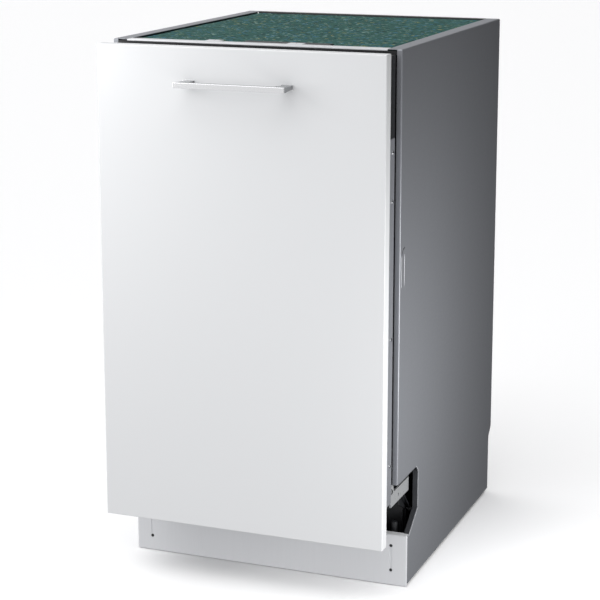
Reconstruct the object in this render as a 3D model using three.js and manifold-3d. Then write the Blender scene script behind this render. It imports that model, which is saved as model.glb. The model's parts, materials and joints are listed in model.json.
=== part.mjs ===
// A slim 45 cm fully integrated dishwasher with its furniture door panel fitted, door closed.
//
// Lengths are in millimetres and +Z is up. Inside the "machine" group the frame is the cabinet's own:
// X = 0 is the cabinet's middle, Y = 0 is the plane of its front flanges (Y grows towards the wall),
// and Z = 0 is the floor. The outer group then moves the origin to the middle of the object's footprint.

import * as THREE from "three";
import { mergeVertices } from "three/addons/utils/BufferGeometryUtils.js";
import Module from "manifold-3d";

const wasm = await Module();
wasm.setup();

// ---------------------------------------------------------------- driving dimensions

const HALF_WIDTH = 224;        // cabinet, 448 wide
const HEIGHT = 815;
const DEPTH = 523;             // front flange plane to rear flange
const SHEET = 1;               // steel sheet
const GAP = 0.3;               // between pieces that touch

const FLANGE_FRONT = 8;        // width of the side panel's front return
const FLANGE_TOP = 22;
const FLANGE_REAR = 15;
const SKIRT_Z = 5;             // lower edge of the side panels
const NOTCH_TOP = 178;         // hinge window in the side panels
const NOTCH_REAR = 101;
const KICK_Y = 50;             // front of the plinth
const KICK_TOP = 81;
const STEP_Z = 120;            // the back steps in below this height, for hoses
const STEP_IN = 16;

const TUB_HALF = 201;
const TUB_FLOOR = 186;         // top face of the tub's floor
const TUB_TOP = 791;
const TUB_BACK = 490;
const TUB_FLANGE_Y = 1.3;
const MAT_TOP = 813.4;         // felt mat on the tub's roof, just under the top rails

const PIVOT_Y = 2;             // door hinge axis
const PIVOT_Z = 166;
const PIN_RADIUS = 3.4;
const ARM_X = [211.5, 214];    // hinge arm's plate, inside the front flange
const ARM_BACK = 83;           // where its tongue starts to curl

const DOOR_HALF = 215.5;
const DOOR_FRONT = -27;
const DOOR_BOTTOM = 151;
const LINER_Y = -4;
const LINER_TOP = 806;
const CONTROL_Z = 692;
const CONTROL_TOP = 808;

const PANEL_LEFT = -227;       // furniture door panel
const PANEL_RIGHT = 217;
const PANEL_Z0 = 92;
const PANEL_Z1 = 812;
const PANEL_THICK = 20;
const PANEL_BACK = DOOR_FRONT - 1;
const PANEL_FRONT = PANEL_BACK - PANEL_THICK;

const HANDLE_LENGTH = 170;
const HANDLE_Z = 761;
const HANDLE_BAR = 8;
const HANDLE_REACH = 36;
const HANDLE_POST = 18;

const LOWER_RACK = { half: 188, front: 45, back: 470, floor: 225, rim: 345 };
const UPPER_RACK = { half: 186, front: 30, back: 460, floor: 470, rim: 600 };
const RACK_WALL = 1.6;
const WHEEL_RADIUS = 18;
const ARM_CENTRE_Y = 240;
const FILTER = { x: 70, y: 156, radius: 37 };
const SALT = { x: -130, y: 330 };
const FLOAT = { x: -150, y: 60 };
const SPRING = { x: 208, z: 100, radius: 8, front: 164, back: 330 };

// ---------------------------------------------------------------- materials

const material = (color, roughness, metalness) =>
  new THREE.MeshStandardMaterial({ color, roughness, metalness });

const finishes = {
  side_steel: () => material(0x8f9196, 0.42, 0.7),
  plinth_steel: () => material(0xc9cccf, 0.4, 0.6),
  stainless: () => material(0xc4c6c8, 0.28, 1.0),
  zinc_steel: () => material(0xa9abad, 0.4, 0.9),
  white_lacquer: () => material(0xeef0f2, 0.35, 0.0),
  handle_metal: () => material(0xd2d4d6, 0.25, 1.0),
  black_plastic: () => material(0x15171a, 0.5, 0.0),
  grey_plastic: () => material(0x8c9094, 0.5, 0.0),
  light_plastic: () => material(0xc8cacb, 0.5, 0.0),
  felt: () => material(0x3f5f5b, 0.95, 0.0),
  rubber: () => material(0x2a2b2d, 0.8, 0.0),
  rack_coating: () => material(0xa7abb0, 0.4, 0.1),
  spring_steel: () => material(0x8a8c8e, 0.35, 0.9),
};

// ---------------------------------------------------------------- solids

function solid(geometry) {
  const bare = geometry.index ? geometry.toNonIndexed() : geometry.clone();
  for (const name of Object.keys(bare.attributes)) {
    if (name !== "position") bare.deleteAttribute(name);
  }
  const merged = mergeVertices(bare, 1e-4);
  return new wasm.Manifold(new wasm.Mesh({
    numProp: 3,
    vertProperties: merged.attributes.position.array,
    triVerts: new Uint32Array(merged.index.array),
  }));
}

function geometryOf(shape) {
  const mesh = shape.getMesh();
  const geometry = new THREE.BufferGeometry();
  geometry.setAttribute("position", new THREE.BufferAttribute(new Float32Array(mesh.vertProperties), 3));
  geometry.setIndex(new THREE.BufferAttribute(new Uint32Array(mesh.triVerts), 1));
  const flat = geometry.toNonIndexed();
  flat.computeVertexNormals();
  return flat;
}

const join = (...shapes) => shapes.reduce((a, b) => a.add(b));
const cut = (shape, ...tools) => tools.reduce((a, b) => a.subtract(b), shape);

function box([x0, x1], [y0, y1], [z0, z1]) {
  const geometry = new THREE.BoxGeometry(x1 - x0, y1 - y0, z1 - z0);
  geometry.translate((x0 + x1) / 2, (y0 + y1) / 2, (z0 + z1) / 2);
  return solid(geometry);
}

function outline(points) {
  const shape = new THREE.Shape();
  points.forEach(([a, b], i) => (i ? shape.lineTo(a, b) : shape.moveTo(a, b)));
  shape.closePath();
  return shape;
}

function rounded(x0, x1, y0, y1, r) {
  const shape = new THREE.Shape();
  shape.moveTo(x0 + r, y0);
  shape.lineTo(x1 - r, y0);
  shape.absarc(x1 - r, y0 + r, r, -Math.PI / 2, 0);
  shape.lineTo(x1, y1 - r);
  shape.absarc(x1 - r, y1 - r, r, 0, Math.PI / 2);
  shape.lineTo(x0 + r, y1);
  shape.absarc(x0 + r, y1 - r, r, Math.PI / 2, Math.PI);
  shape.lineTo(x0, y0 + r);
  shape.absarc(x0 + r, y0 + r, r, Math.PI, Math.PI * 1.5);
  return shape;
}

const extrude = (shape, depth) =>
  new THREE.ExtrudeGeometry(shape, { depth, bevelEnabled: false, curveSegments: 6 });

// Outline in X,Y drawn upwards; in Y,Z drawn along X; in X,Z drawn along Y.
const extrudeZ = (shape, [z0, z1]) => solid(extrude(shape, z1 - z0).translate(0, 0, z0));
const toX = new THREE.Matrix4().set(0, 0, 1, 0, 1, 0, 0, 0, 0, 1, 0, 0, 0, 0, 0, 1);
const extrudeX = (shape, [x0, x1]) => solid(extrude(shape, x1 - x0).applyMatrix4(toX).translate(x0, 0, 0));
const extrudeY = (shape, [y0, y1]) => solid(extrude(shape, y1 - y0).rotateX(Math.PI / 2).translate(0, y1, 0));

function rod(axis, [a, b], centre, radius, sides = 20) {
  const geometry = new THREE.CylinderGeometry(radius, radius, b - a, sides);
  const middle = (a + b) / 2;
  if (axis === "x") geometry.rotateZ(Math.PI / 2).translate(middle, centre[0], centre[1]);
  if (axis === "y") geometry.translate(centre[0], middle, centre[1]);
  if (axis === "z") geometry.rotateX(Math.PI / 2).translate(centre[0], centre[1], middle);
  return solid(geometry);
}

function link(from, to, radius) {
  const a = new THREE.Vector3(...from);
  const b = new THREE.Vector3(...to);
  const geometry = new THREE.CylinderGeometry(radius, radius, a.distanceTo(b), 8);
  const turn = new THREE.Quaternion().setFromUnitVectors(
    new THREE.Vector3(0, 1, 0), b.clone().sub(a).normalize());
  geometry.applyQuaternion(turn);
  geometry.translate(...a.add(b).multiplyScalar(0.5).toArray());
  return solid(geometry);
}

// An open-topped basket or tray: five walls of one thickness.
function openBox(x, y, [z0, z1], wall) {
  return cut(
    box(x, y, [z0, z1]),
    box([x[0] + wall, x[1] - wall], [y[0] + wall, y[1] - wall], [z0 + wall, z1 + 1]));
}

const root = new THREE.Group();
const machine = new THREE.Group();
root.add(machine);

function piece(group, name, shape, finish, { at = [0, 0, 0], mirror = false } = {}) {
  const mesh = new THREE.Mesh(geometryOf(shape), finishes[finish]());
  mesh.name = name;
  mesh.position.set(...at);
  if (mirror) mesh.scale.x = -1;
  group.add(mesh);
}

// A right-hand piece and its mirror image.
function pair(group, name, shape, finish) {
  piece(group, name + "_right", shape, finish);
  piece(group, name + "_left", shape, finish, { mirror: true });
}

// ---------------------------------------------------------------- cabinet shell

const cabinet = new THREE.Group();
machine.add(cabinet);

function sidePanel() {
  const inner = HALF_WIDTH - SHEET;
  const stepY = DEPTH - STEP_IN;
  const side = new THREE.Shape();
  side.moveTo(KICK_Y + SHEET + GAP, SKIRT_Z);
  side.lineTo(KICK_Y + SHEET + GAP, KICK_TOP - 1);
  side.lineTo(58, KICK_TOP - 1);
  side.lineTo(NOTCH_REAR, 110);
  side.lineTo(NOTCH_REAR, NOTCH_TOP - 10);
  side.lineTo(NOTCH_REAR - 10, NOTCH_TOP);
  side.lineTo(0, NOTCH_TOP);
  side.lineTo(0, HEIGHT);
  side.lineTo(DEPTH, HEIGHT);
  side.lineTo(DEPTH, STEP_Z);
  side.bezierCurveTo(DEPTH - 1, STEP_Z - 12, stepY, STEP_Z - 12, stepY, STEP_Z - 27);
  side.lineTo(stepY, SKIRT_Z);
  side.closePath();

  // Pressed tab for screwing to the neighbouring unit: a J-shaped lance behind the front edge.
  const tab = outline([
    [8, 473], [8, 522], [13, 529], [22, 531],
    [22, 529.6], [14, 527.6], [9.4, 521.4], [9.4, 473]]);

  const returnEdge = outline([
    [58, KICK_TOP - 1], [NOTCH_REAR, 110], [NOTCH_REAR, NOTCH_TOP - 10],
    [NOTCH_REAR + SHEET, NOTCH_TOP - 10], [NOTCH_REAR + SHEET, 109.3], [59, KICK_TOP - 2]]);

  return cut(
    join(
      extrudeX(side, [inner, HALF_WIDTH]),
      box([HALF_WIDTH - FLANGE_FRONT, HALF_WIDTH], [0, SHEET], [NOTCH_TOP, HEIGHT]),
      box([HALF_WIDTH - FLANGE_TOP, HALF_WIDTH], [0, DEPTH], [HEIGHT - SHEET, HEIGHT]),
      box([HALF_WIDTH - FLANGE_REAR, HALF_WIDTH], [DEPTH - SHEET, DEPTH], [STEP_Z, HEIGHT]),
      extrudeX(returnEdge, [HALF_WIDTH - 5.8, HALF_WIDTH - 0.5])),
    extrudeX(tab, [inner - 2, HALF_WIDTH + 2]));
}
pair(cabinet, "side_panel", sidePanel(), "side_steel");

piece(cabinet, "rear_panel",
  box([-208.5, 208.5], [DEPTH - 2, DEPTH - 1 - GAP], [STEP_Z + 4, 798]), "side_steel");

const RAIL_HALF = HALF_WIDTH - FLANGE_TOP - GAP;
piece(cabinet, "top_front_rail", join(
  box([-RAIL_HALF, RAIL_HALF], [0, 18], [HEIGHT - SHEET, HEIGHT]),
  box([-RAIL_HALF, RAIL_HALF], [0, SHEET], [807.2, HEIGHT]),
  box([-HALF_WIDTH + FLANGE_FRONT + GAP, HALF_WIDTH - FLANGE_FRONT - GAP], [0, SHEET], [807.2, 813.7])),
  "plinth_steel");

const REAR_RAIL = { front: 509, back: DEPTH - 1.5, bottom: 799, wall: 2 };
piece(cabinet, "top_rear_rail", cut(
  box([-RAIL_HALF, RAIL_HALF], [REAR_RAIL.front, REAR_RAIL.back], [REAR_RAIL.bottom, HEIGHT]),
  box([-RAIL_HALF + REAR_RAIL.wall, RAIL_HALF - REAR_RAIL.wall],
    [REAR_RAIL.front + REAR_RAIL.wall, REAR_RAIL.back - REAR_RAIL.wall],
    [REAR_RAIL.bottom - 1, HEIGHT - REAR_RAIL.wall])), "black_plastic");

const LOCK = { left: -26, right: 107, front: 18.5, back: 42, bottom: 797 };
const LATCH = { left: 43, right: 57, bottom: 800, top: 805, back: 30 };
piece(cabinet, "door_lock_housing", cut(
  box([LOCK.left, LOCK.right], [LOCK.front, LOCK.back], [LOCK.bottom, HEIGHT]),
  box([LATCH.left - 7, LATCH.right + 7], [LOCK.front - 1, LATCH.back + 8],
    [LOCK.bottom + 0.5, LATCH.top + 5])), "black_plastic");

piece(cabinet, "top_insulation_mat", cut(
  box([-RAIL_HALF, RAIL_HALF], [4, REAR_RAIL.front - 0.5], [TUB_TOP + GAP, MAT_TOP]),
  box([LOCK.left - 1, LOCK.right + 1], [0, LOCK.back + 1], [LOCK.bottom - 0.5, HEIGHT + 15])), "felt");

// ---------------------------------------------------------------- tub

function tubArch(half, top) {
  const r = 20;
  const arch = new THREE.Shape();
  arch.moveTo(-half, TUB_FLOOR - 1.8);
  arch.lineTo(half, TUB_FLOOR - 1.8);
  arch.lineTo(half, top - r);
  arch.absarc(half - r, top - r, r, 0, Math.PI / 2);
  arch.lineTo(-half + r, top);
  arch.absarc(-half + r, top - r, r, Math.PI / 2, Math.PI);
  arch.closePath();
  return arch;
}
const tubHollow = extrudeY(tubArch(TUB_HALF - SHEET, TUB_TOP - SHEET), [-10, TUB_BACK + 10])
  .add(box([-200, 200], [-10, 500], [150, 300]));
piece(cabinet, "tub_wrapper", cut(
  join(
    extrudeY(tubArch(TUB_HALF, TUB_TOP), [TUB_FLANGE_Y, TUB_BACK]),
    box([-211.2, 211.2], [TUB_FLANGE_Y, TUB_FLANGE_Y + 1.3], [TUB_FLOOR - 1.8, 806.9])),
  tubHollow,
  box([LATCH.left - 5, LATCH.right + 5], [0, 3], [LATCH.bottom - 1, HEIGHT])), "stainless");

piece(cabinet, "tub_rear_wall",
  extrudeY(tubArch(TUB_HALF, TUB_TOP), [TUB_BACK + GAP, TUB_BACK + GAP + SHEET]), "stainless");

const FILTER_BAY = { x: [-90, 150], y: [90, 330] };
piece(cabinet, "tub_floor", cut(
  join(
    box([-199.7, 199.7], [1.3, 489.7], [TUB_FLOOR - 1.2, TUB_FLOOR]),
    box([-211, 211], [TUB_FLANGE_Y, TUB_FLANGE_Y + 1.3], [170, TUB_FLOOR - 2.1]),
    box([-199.7, 199.7], [TUB_FLANGE_Y, TUB_FLANGE_Y + 1.3], [170, TUB_FLOOR])),
  box(FILTER_BAY.x, FILTER_BAY.y, [180, 190]),
  rod("z", [180, 190], [SALT.x, SALT.y], 27),
  rod("z", [180, 190], [FLOAT.x, FLOAT.y], 5.5)), "stainless");

const SEAL = { half: 202.5, top: 791.8, wide: 6, front: -2.5 };
piece(cabinet, "tub_door_seal", cut(
  box([-SEAL.half - SEAL.wide, SEAL.half + SEAL.wide], [SEAL.front, TUB_FLANGE_Y - GAP],
    [TUB_FLOOR - 1.5, SEAL.top + SEAL.wide]),
  box([-SEAL.half, SEAL.half], [SEAL.front - 2, 5], [150, SEAL.top])), "rubber");

// ---------------------------------------------------------------- base and plinth

const BASE = {
  half: 221.5, front: 54, back: 500, floor: 8, trayTop: 78, wall: 3,
  wallHalf: 199, bulkhead: 104, wallTop: 169,
};
const FEET = {
  front_left: [-195, 76],
  front_right: [195, 76],
  rear: [0, 465],
};
const FOOT_STEM_TOP = 92;
const DRAIN_SPIGOT = { at: [120, 55], end: 518 };
const INLET = { x: -150, z: 60 };              // water inlet's threaded stub
const SOCKET = { x: [34, 76], z: [42, 78] };   // power inlet's flange

function baseTray() {
  const inner = BASE.half - BASE.wall;
  const tray = cut(
    box([-BASE.half, BASE.half], [BASE.front, BASE.back], [BASE.floor, BASE.trayTop]),
    box([-inner, inner], [BASE.front + BASE.wall, BASE.back - BASE.wall],
      [BASE.floor + BASE.wall, BASE.trayTop + 12]));
  const upright = [BASE.floor + 1, BASE.wallTop];
  const { wallHalf, wall, bulkhead } = BASE;
  const walls = [
    box([-wallHalf, -wallHalf + wall], [bulkhead, BASE.back - 1], upright),
    box([wallHalf - wall, wallHalf], [bulkhead, BASE.back - 1], upright),
    box([-wallHalf, wallHalf], [bulkhead, bulkhead + wall], upright),
    box([-wallHalf, wallHalf], [BASE.back - wall, BASE.back], upright),
  ];
  const spigot = join(
    rod("y", [BASE.back - 1, DRAIN_SPIGOT.end], DRAIN_SPIGOT.at, 10.5),
    rod("y", [DRAIN_SPIGOT.end - 6, DRAIN_SPIGOT.end - 2], DRAIN_SPIGOT.at, 12));
  const bosses = Object.values(FEET).map(([x, y]) => rod("z", [BASE.floor + 1, 40], [x, y], 9.5));
  const shafts = Object.values(FEET).map(([x, y]) => rod("z", [0, 60], [x, y], 5.3));
  return cut(
    join(tray, ...walls, spigot, ...bosses),
    ...shafts,
    rod("y", [490, 530], DRAIN_SPIGOT.at, 8),
    rod("y", [490, 510], [INLET.x, INLET.z], 14),
    box([SOCKET.x[0] + 2, SOCKET.x[1] - 2], [490, 510], [SOCKET.z[0] + 2, SOCKET.z[1] - 2]));
}
piece(cabinet, "base_tray", baseTray(), "black_plastic");

function plinth() {
  const slot = (x) => join(
    box([x - 1.3, x + 1.3], [KICK_Y - 5, KICK_Y + 5], [24, 63]),
    rod("y", [KICK_Y - 5, KICK_Y + 5], [x, 24], 2.4, 12),
    rod("y", [KICK_Y - 5, KICK_Y + 5], [x, 63], 2.4, 12));
  return cut(
    join(
      box([-HALF_WIDTH, HALF_WIDTH], [KICK_Y, KICK_Y + SHEET], [1, KICK_TOP]),
      box([-218, 218], [KICK_Y, KICK_Y + 3], [1, 4]),
      box([-HALF_WIDTH + 6, HALF_WIDTH - 6], [KICK_Y, KICK_Y + 12], [KICK_TOP - SHEET, KICK_TOP])),
    slot(-198.5), slot(198.5));
}
piece(cabinet, "plinth_panel", plinth(), "plinth_steel");

// ---------------------------------------------------------------- hinges and door springs

// The bracket starts at the pin and runs back above the space that the door's lower edge swings through.
function hingeBracket() {
  const plate = outline([
    [-6, 161], [-6, 169.4], [70, 169.4], [112, 150], [163, 118], [163, 30], [112, 30], [112, 100],
    [79, 118], [79, 138], [22, 139.5], [20, 161]]);
  const springSeat = cut(
    box([200, 217], [160, 163], [90, 110]),
    rod("y", [155, 168], [SPRING.x, SPRING.z], 3));
  return join(
    extrudeX(plate, [199.6, 201.4]),
    rod("x", [200, 215], [PIVOT_Y, PIVOT_Z], PIN_RADIUS),
    springSeat);
}
pair(cabinet, "hinge_bracket", hingeBracket(), "zinc_steel");

function springAndRope() {
  const { x, z, radius, front, back } = SPRING;
  return join(
    rod("y", [front, back], [x, z], radius, 16),
    link([x, front + 2, z], [x, 112, z + 6], 1.4),
    link([x, 113, z + 5], [x, 71, 146], 1.4),
    rod("x", [x - 2, x + 2], [112.5, z + 5.5], 2.2, 8));
}
pair(cabinet, "door_spring", springAndRope(), "spring_steel");

const springCup = join(
  rod("y", [0, 3], [0, 0], 8.2, 16),
  rod("y", [0, 8], [0, 0], 4, 12));
for (const [side, sign] of [["left", -1], ["right", 1]]) {
  piece(cabinet, "spring_cup_" + side, springCup, "zinc_steel", {
    at: [sign * SPRING.x, SPRING.back + GAP, SPRING.z],
  });
}

// ---------------------------------------------------------------- hydraulics in the base

const SUMP = { x: [-84, 144], y: [112, 324], z: [120, 184.4], wall: 2.5, outlet: [60, 140] };
piece(cabinet, "sump_housing", cut(
  join(
    openBox(SUMP.x, SUMP.y, SUMP.z, SUMP.wall),
    rod("z", [SUMP.z[0] + 1, 189], [0, ARM_CENTRE_Y], 12),
    rod("y", [SUMP.y[1] - 24, SUMP.y[1] + 21], SUMP.outlet, 14)),
  rod("z", [SUMP.z[0] + 5, 200], [0, ARM_CENTRE_Y], 7),
  rod("y", [SUMP.y[1] - 14, SUMP.y[1] + 26], SUMP.outlet, 11)), "black_plastic");

piece(cabinet, "fine_filter_plate", cut(
  box([FILTER_BAY.x[0] - 5, FILTER_BAY.x[1] + 5], [FILTER_BAY.y[0] - 5, FILTER_BAY.y[1] + 5],
    [TUB_FLOOR + GAP, TUB_FLOOR + 1.8]),
  rod("z", [180, 195], [FILTER.x, FILTER.y], FILTER.radius + 1.5, 28),
  rod("z", [180, 195], [0, ARM_CENTRE_Y], 15)), "stainless");

piece(cabinet, "filter_cup", join(
  cut(rod("z", [140, 188], [0, 0], FILTER.radius, 28), rod("z", [143, 190], [0, 0], FILTER.radius - 2, 28)),
  box([-4, 4], [-FILTER.radius + 1, FILTER.radius - 1], [186, 193])), "grey_plastic",
  { at: [FILTER.x, FILTER.y, 0] });

const MAIN_PUMP = { axis: [380, 62], motor: [-60, 70], volute: [70, 100] };
piece(cabinet, "circulation_pump", join(
  rod("x", MAIN_PUMP.motor, MAIN_PUMP.axis, 34, 24),
  rod("x", MAIN_PUMP.volute, MAIN_PUMP.axis, 44, 24),
  rod("z", [100, 122], [85, MAIN_PUMP.axis[0]], 13)), "grey_plastic");

const DRAIN_PUMP = { axis: [110, 55], motor: [180, 240], volute: [240, 262] };
piece(cabinet, "drain_pump", join(
  rod("y", DRAIN_PUMP.motor, DRAIN_PUMP.axis, 26, 20),
  rod("y", DRAIN_PUMP.volute, DRAIN_PUMP.axis, 32, 20),
  rod("x", [60, 112], [251, DRAIN_PUMP.axis[1]], 9, 12)), "grey_plastic");

piece(cabinet, "water_inlet_valve", join(
  box([INLET.x - 22, INLET.x + 22], [440, 494], [INLET.z - 22, INLET.z + 22]),
  rod("y", [490, 508], [INLET.x, INLET.z], 11),
  rod("y", [506, 519], [INLET.x, INLET.z], 13.2)), "light_plastic");

piece(cabinet, "power_inlet", cut(
  join(
    box([SOCKET.x[0] + 4, SOCKET.x[1] - 4], [470, 502], [SOCKET.z[0] + 4, SOCKET.z[1] - 4]),
    box(SOCKET.x, [BASE.back + GAP, BASE.back + 3.5], SOCKET.z)),
  box([SOCKET.x[0] + 9, SOCKET.x[1] - 9], [488, 510], [SOCKET.z[0] + 10, SOCKET.z[1] - 10])),
  "black_plastic");

piece(cabinet, "salt_reservoir", cut(
  join(
    box([-186, -96], [262, 420], [70, 178]),
    rod("z", [176, 187], [SALT.x, SALT.y], 26, 24)),
  rod("z", [90, 190], [SALT.x, SALT.y], 22, 24)), "light_plastic");

piece(cabinet, "salt_cap", join(
  rod("z", [187.3, 191], [0, 0], 30, 24),
  box([-22, 22], [-4, 4], [190, 194.5])), "grey_plastic", { at: [SALT.x, SALT.y, 0] });

piece(cabinet, "float_switch", join(
  rod("z", [TUB_FLOOR + 1, 199], [0, 0], 18, 20),
  rod("z", [150, TUB_FLOOR + 2], [0, 0], 4, 12)), "light_plastic", { at: [FLOAT.x, FLOAT.y, 0] });

piece(cabinet, "air_break_chamber",
  extrudeX(rounded(150, 330, 300, 600, 18), [-216, -202.5]), "light_plastic");

piece(cabinet, "water_feed_pipe", join(
  box([-14, 14], [478, 489.5], [TUB_FLOOR + GAP, 452]),
  box([-10, 10], [464, 489.5], [452, 470])), "grey_plastic");

for (const [where, [x, y]] of Object.entries(FEET)) {
  piece(cabinet, where + "_foot", join(
    rod("z", [0, 5], [0, 0], 17, 20),
    rod("z", [5, 7.5], [0, 0], 11, 6),
    rod("z", [6, FOOT_STEM_TOP], [0, 0], 5, 12)), "zinc_steel", { at: [x, y, 0] });
}

const RAIL = { x: [191, 199.6], y: [12, 470], z: [570, 602] };
pair(cabinet, "upper_rack_rail", cut(
  box(RAIL.x, RAIL.y, RAIL.z),
  box([RAIL.x[0] - 1, RAIL.x[1] - 1.6], [RAIL.y[0] - 1, RAIL.y[1] + 1], [RAIL.z[0] + 2, RAIL.z[1] - 2])),
  "stainless");

// ---------------------------------------------------------------- spray arms

function sprayArm(reach, width) {
  const bar = new THREE.Shape();
  bar.moveTo(-reach, -width * 0.35);
  bar.lineTo(-30, -width);
  bar.lineTo(reach - 8, -width * 0.35);
  bar.absarc(reach - 8, 0, width * 0.35, -Math.PI / 2, Math.PI / 2);
  bar.lineTo(30, width);
  bar.lineTo(-reach, width * 0.35);
  bar.closePath();
  return join(
    extrudeZ(bar, [0, 9]),
    rod("z", [-5, 14], [0, 0], 22, 24));
}
piece(cabinet, "lower_spray_arm", sprayArm(176, 21), "grey_plastic", { at: [0, ARM_CENTRE_Y, 197] });

// ---------------------------------------------------------------- racks

const upperRack = new THREE.Group();
machine.add(upperRack);
piece(upperRack, "upper_rack", join(
  openBox([-UPPER_RACK.half, UPPER_RACK.half], [UPPER_RACK.front, UPPER_RACK.back],
    [UPPER_RACK.floor, UPPER_RACK.rim], RACK_WALL),
  box([UPPER_RACK.half - 1, 196], [UPPER_RACK.front + 10, UPPER_RACK.back - 5], [580, 590]),
  box([-196, -UPPER_RACK.half + 1], [UPPER_RACK.front + 10, UPPER_RACK.back - 5], [580, 590]),
  box([-9, 9], [ARM_CENTRE_Y - 9, UPPER_RACK.back + 1.5], [459, UPPER_RACK.floor + 1])), "rack_coating");
piece(upperRack, "upper_spray_arm", sprayArm(170, 19), "grey_plastic", { at: [0, ARM_CENTRE_Y, 444] });

const lowerRack = new THREE.Group();
machine.add(lowerRack);
const WHEELS_Y = { front: 95, rear: 400 };
const WHEEL_Z = TUB_FLOOR + 1 + WHEEL_RADIUS;
const axles = [-1, 1].flatMap((s) => Object.values(WHEELS_Y).flatMap((y) => [
  box(s < 0 ? [-188, -185] : [185, 188], [y - 8, y + 8], [WHEEL_Z - 8, LOWER_RACK.floor + 6]),
  rod("x", s < 0 ? [-196, -186] : [186, 196], [y, WHEEL_Z], 3.5, 12),
]));
piece(lowerRack, "lower_rack", join(
  openBox([-LOWER_RACK.half, LOWER_RACK.half], [LOWER_RACK.front, LOWER_RACK.back],
    [LOWER_RACK.floor, LOWER_RACK.rim], RACK_WALL),
  ...axles), "rack_coating");

const wheel = cut(
  rod("x", [189, 196.5], [0, 0], WHEEL_RADIUS, 24),
  rod("x", [180, 200], [0, 0], 3.9, 12));
for (const [end, y] of Object.entries(WHEELS_Y)) {
  for (const side of ["left", "right"]) {
    piece(lowerRack, "rack_wheel_" + end + "_" + side, wheel, "grey_plastic", {
      at: [0, y, WHEEL_Z], mirror: side === "left",
    });
  }
}

const BASKET = { x: [-70, 70], y: [52, 130], z: [229, 375] };
piece(lowerRack, "cutlery_basket", join(
  openBox(BASKET.x, BASKET.y, [BASKET.z[0], 340], 2),
  box([-2, 2], [BASKET.y[0], BASKET.y[1]], [229, 352]),
  cut(box([-2, 2], [70, 112], [330, BASKET.z[1]]), box([-3, 3], [78, 104], [352, 366]))), "grey_plastic");

// ---------------------------------------------------------------- door

const door = new THREE.Group();
machine.add(door);

piece(door, "door_outer_panel", cut(
  box([-DOOR_HALF, DOOR_HALF], [DOOR_FRONT, LINER_Y - GAP], [DOOR_BOTTOM, CONTROL_Z - GAP]),
  box([-DOOR_HALF + 1, DOOR_HALF - 1], [DOOR_FRONT + 1, 5], [DOOR_BOTTOM + 1, CONTROL_Z + 5])), "side_steel");

const POCKET = { x: 182, z: [215, 664], depth: 8 };
const DISPENSER = { x: [-75, 55], z: [405, 505] };
const LID = { z: 415, length: 50 };
piece(door, "door_inner_liner", cut(
  join(
    box([-210.5, 210.5], [LINER_Y, LINER_Y + SHEET], [178, LINER_TOP]),
    box([-POCKET.x, POCKET.x], [LINER_Y - POCKET.depth, LINER_Y + SHEET], POCKET.z)),
  box([-POCKET.x + 1, POCKET.x - 1], [LINER_Y - POCKET.depth + 1, 5], [POCKET.z[0] + 1, POCKET.z[1] - 1]),
  box([DISPENSER.x[0] + 3, DISPENSER.x[1] - 3], [-20, 5], [DISPENSER.z[0] + 3, DISPENSER.z[1] - 3])),
  "stainless");

const BUTTONS = { power: -150, program: -90, start: 150 };
const BUTTON_Y = -16;
const CONTROL_WALL = 2.5;
piece(door, "control_panel", cut(
  box([-DOOR_HALF, DOOR_HALF], [DOOR_FRONT, LINER_Y - GAP], [CONTROL_Z, CONTROL_TOP]),
  box([-DOOR_HALF + CONTROL_WALL, DOOR_HALF - CONTROL_WALL],
    [DOOR_FRONT + CONTROL_WALL, 5], [CONTROL_Z - 5, CONTROL_TOP - CONTROL_WALL]),
  ...Object.values(BUTTONS).map((x) =>
    box([x - 9.5, x + 9.5], [BUTTON_Y - 5.5, BUTTON_Y + 5.5], [CONTROL_TOP - 8, CONTROL_TOP + 4]))),
  "black_plastic");
for (const [name, x] of Object.entries(BUTTONS)) {
  piece(door, name + "_button", join(
    box([-9, 9], [-5, 5], [CONTROL_TOP - 5, CONTROL_TOP + 1.5]),
    box([-12, 12], [-7, 7], [CONTROL_TOP - 9, CONTROL_TOP - 5])), "grey_plastic", { at: [x, BUTTON_Y, 0] });
}

piece(door, "door_latch_hook", cut(
  box([LATCH.left, LATCH.right], [LINER_Y + SHEET + GAP, LATCH.back], [LATCH.bottom, LATCH.top]),
  box([LATCH.left + 3, LATCH.right - 3], [LATCH.back - 10, LATCH.back - 4],
    [LATCH.bottom - 5, LATCH.top + 5])), "zinc_steel");

piece(door, "dispenser_body", cut(
  join(
    box(DISPENSER.x, [LINER_Y - POCKET.depth + SHEET + GAP, -8.5], DISPENSER.z),
    box([DISPENSER.x[0] + 3.5, DISPENSER.x[1] - 3.5], [-24, -9],
      [DISPENSER.z[0] + 3.5, DISPENSER.z[1] - 3.5])),
  box([-66, -8], [-22, 0], [LID.z + 4, LID.z + LID.length - 4]),
  rod("y", [-20, 0], [26, 445], 15)), "grey_plastic");
piece(door, "dispenser_lid", join(
  box([-30, 30], [0, 2.5], [0, LID.length]),
  box([-20, 20], [2, 4.2], [LID.length - 10, LID.length - 6])), "grey_plastic", { at: [-37, -8, LID.z] });
piece(door, "rinse_aid_cap", join(
  rod("y", [-10, -6], [0, 0], 14.2, 24),
  box([-11, 11], [-7, -3.8], [-2.5, 2.5])), "grey_plastic", { at: [26, 0, 445] });

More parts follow.
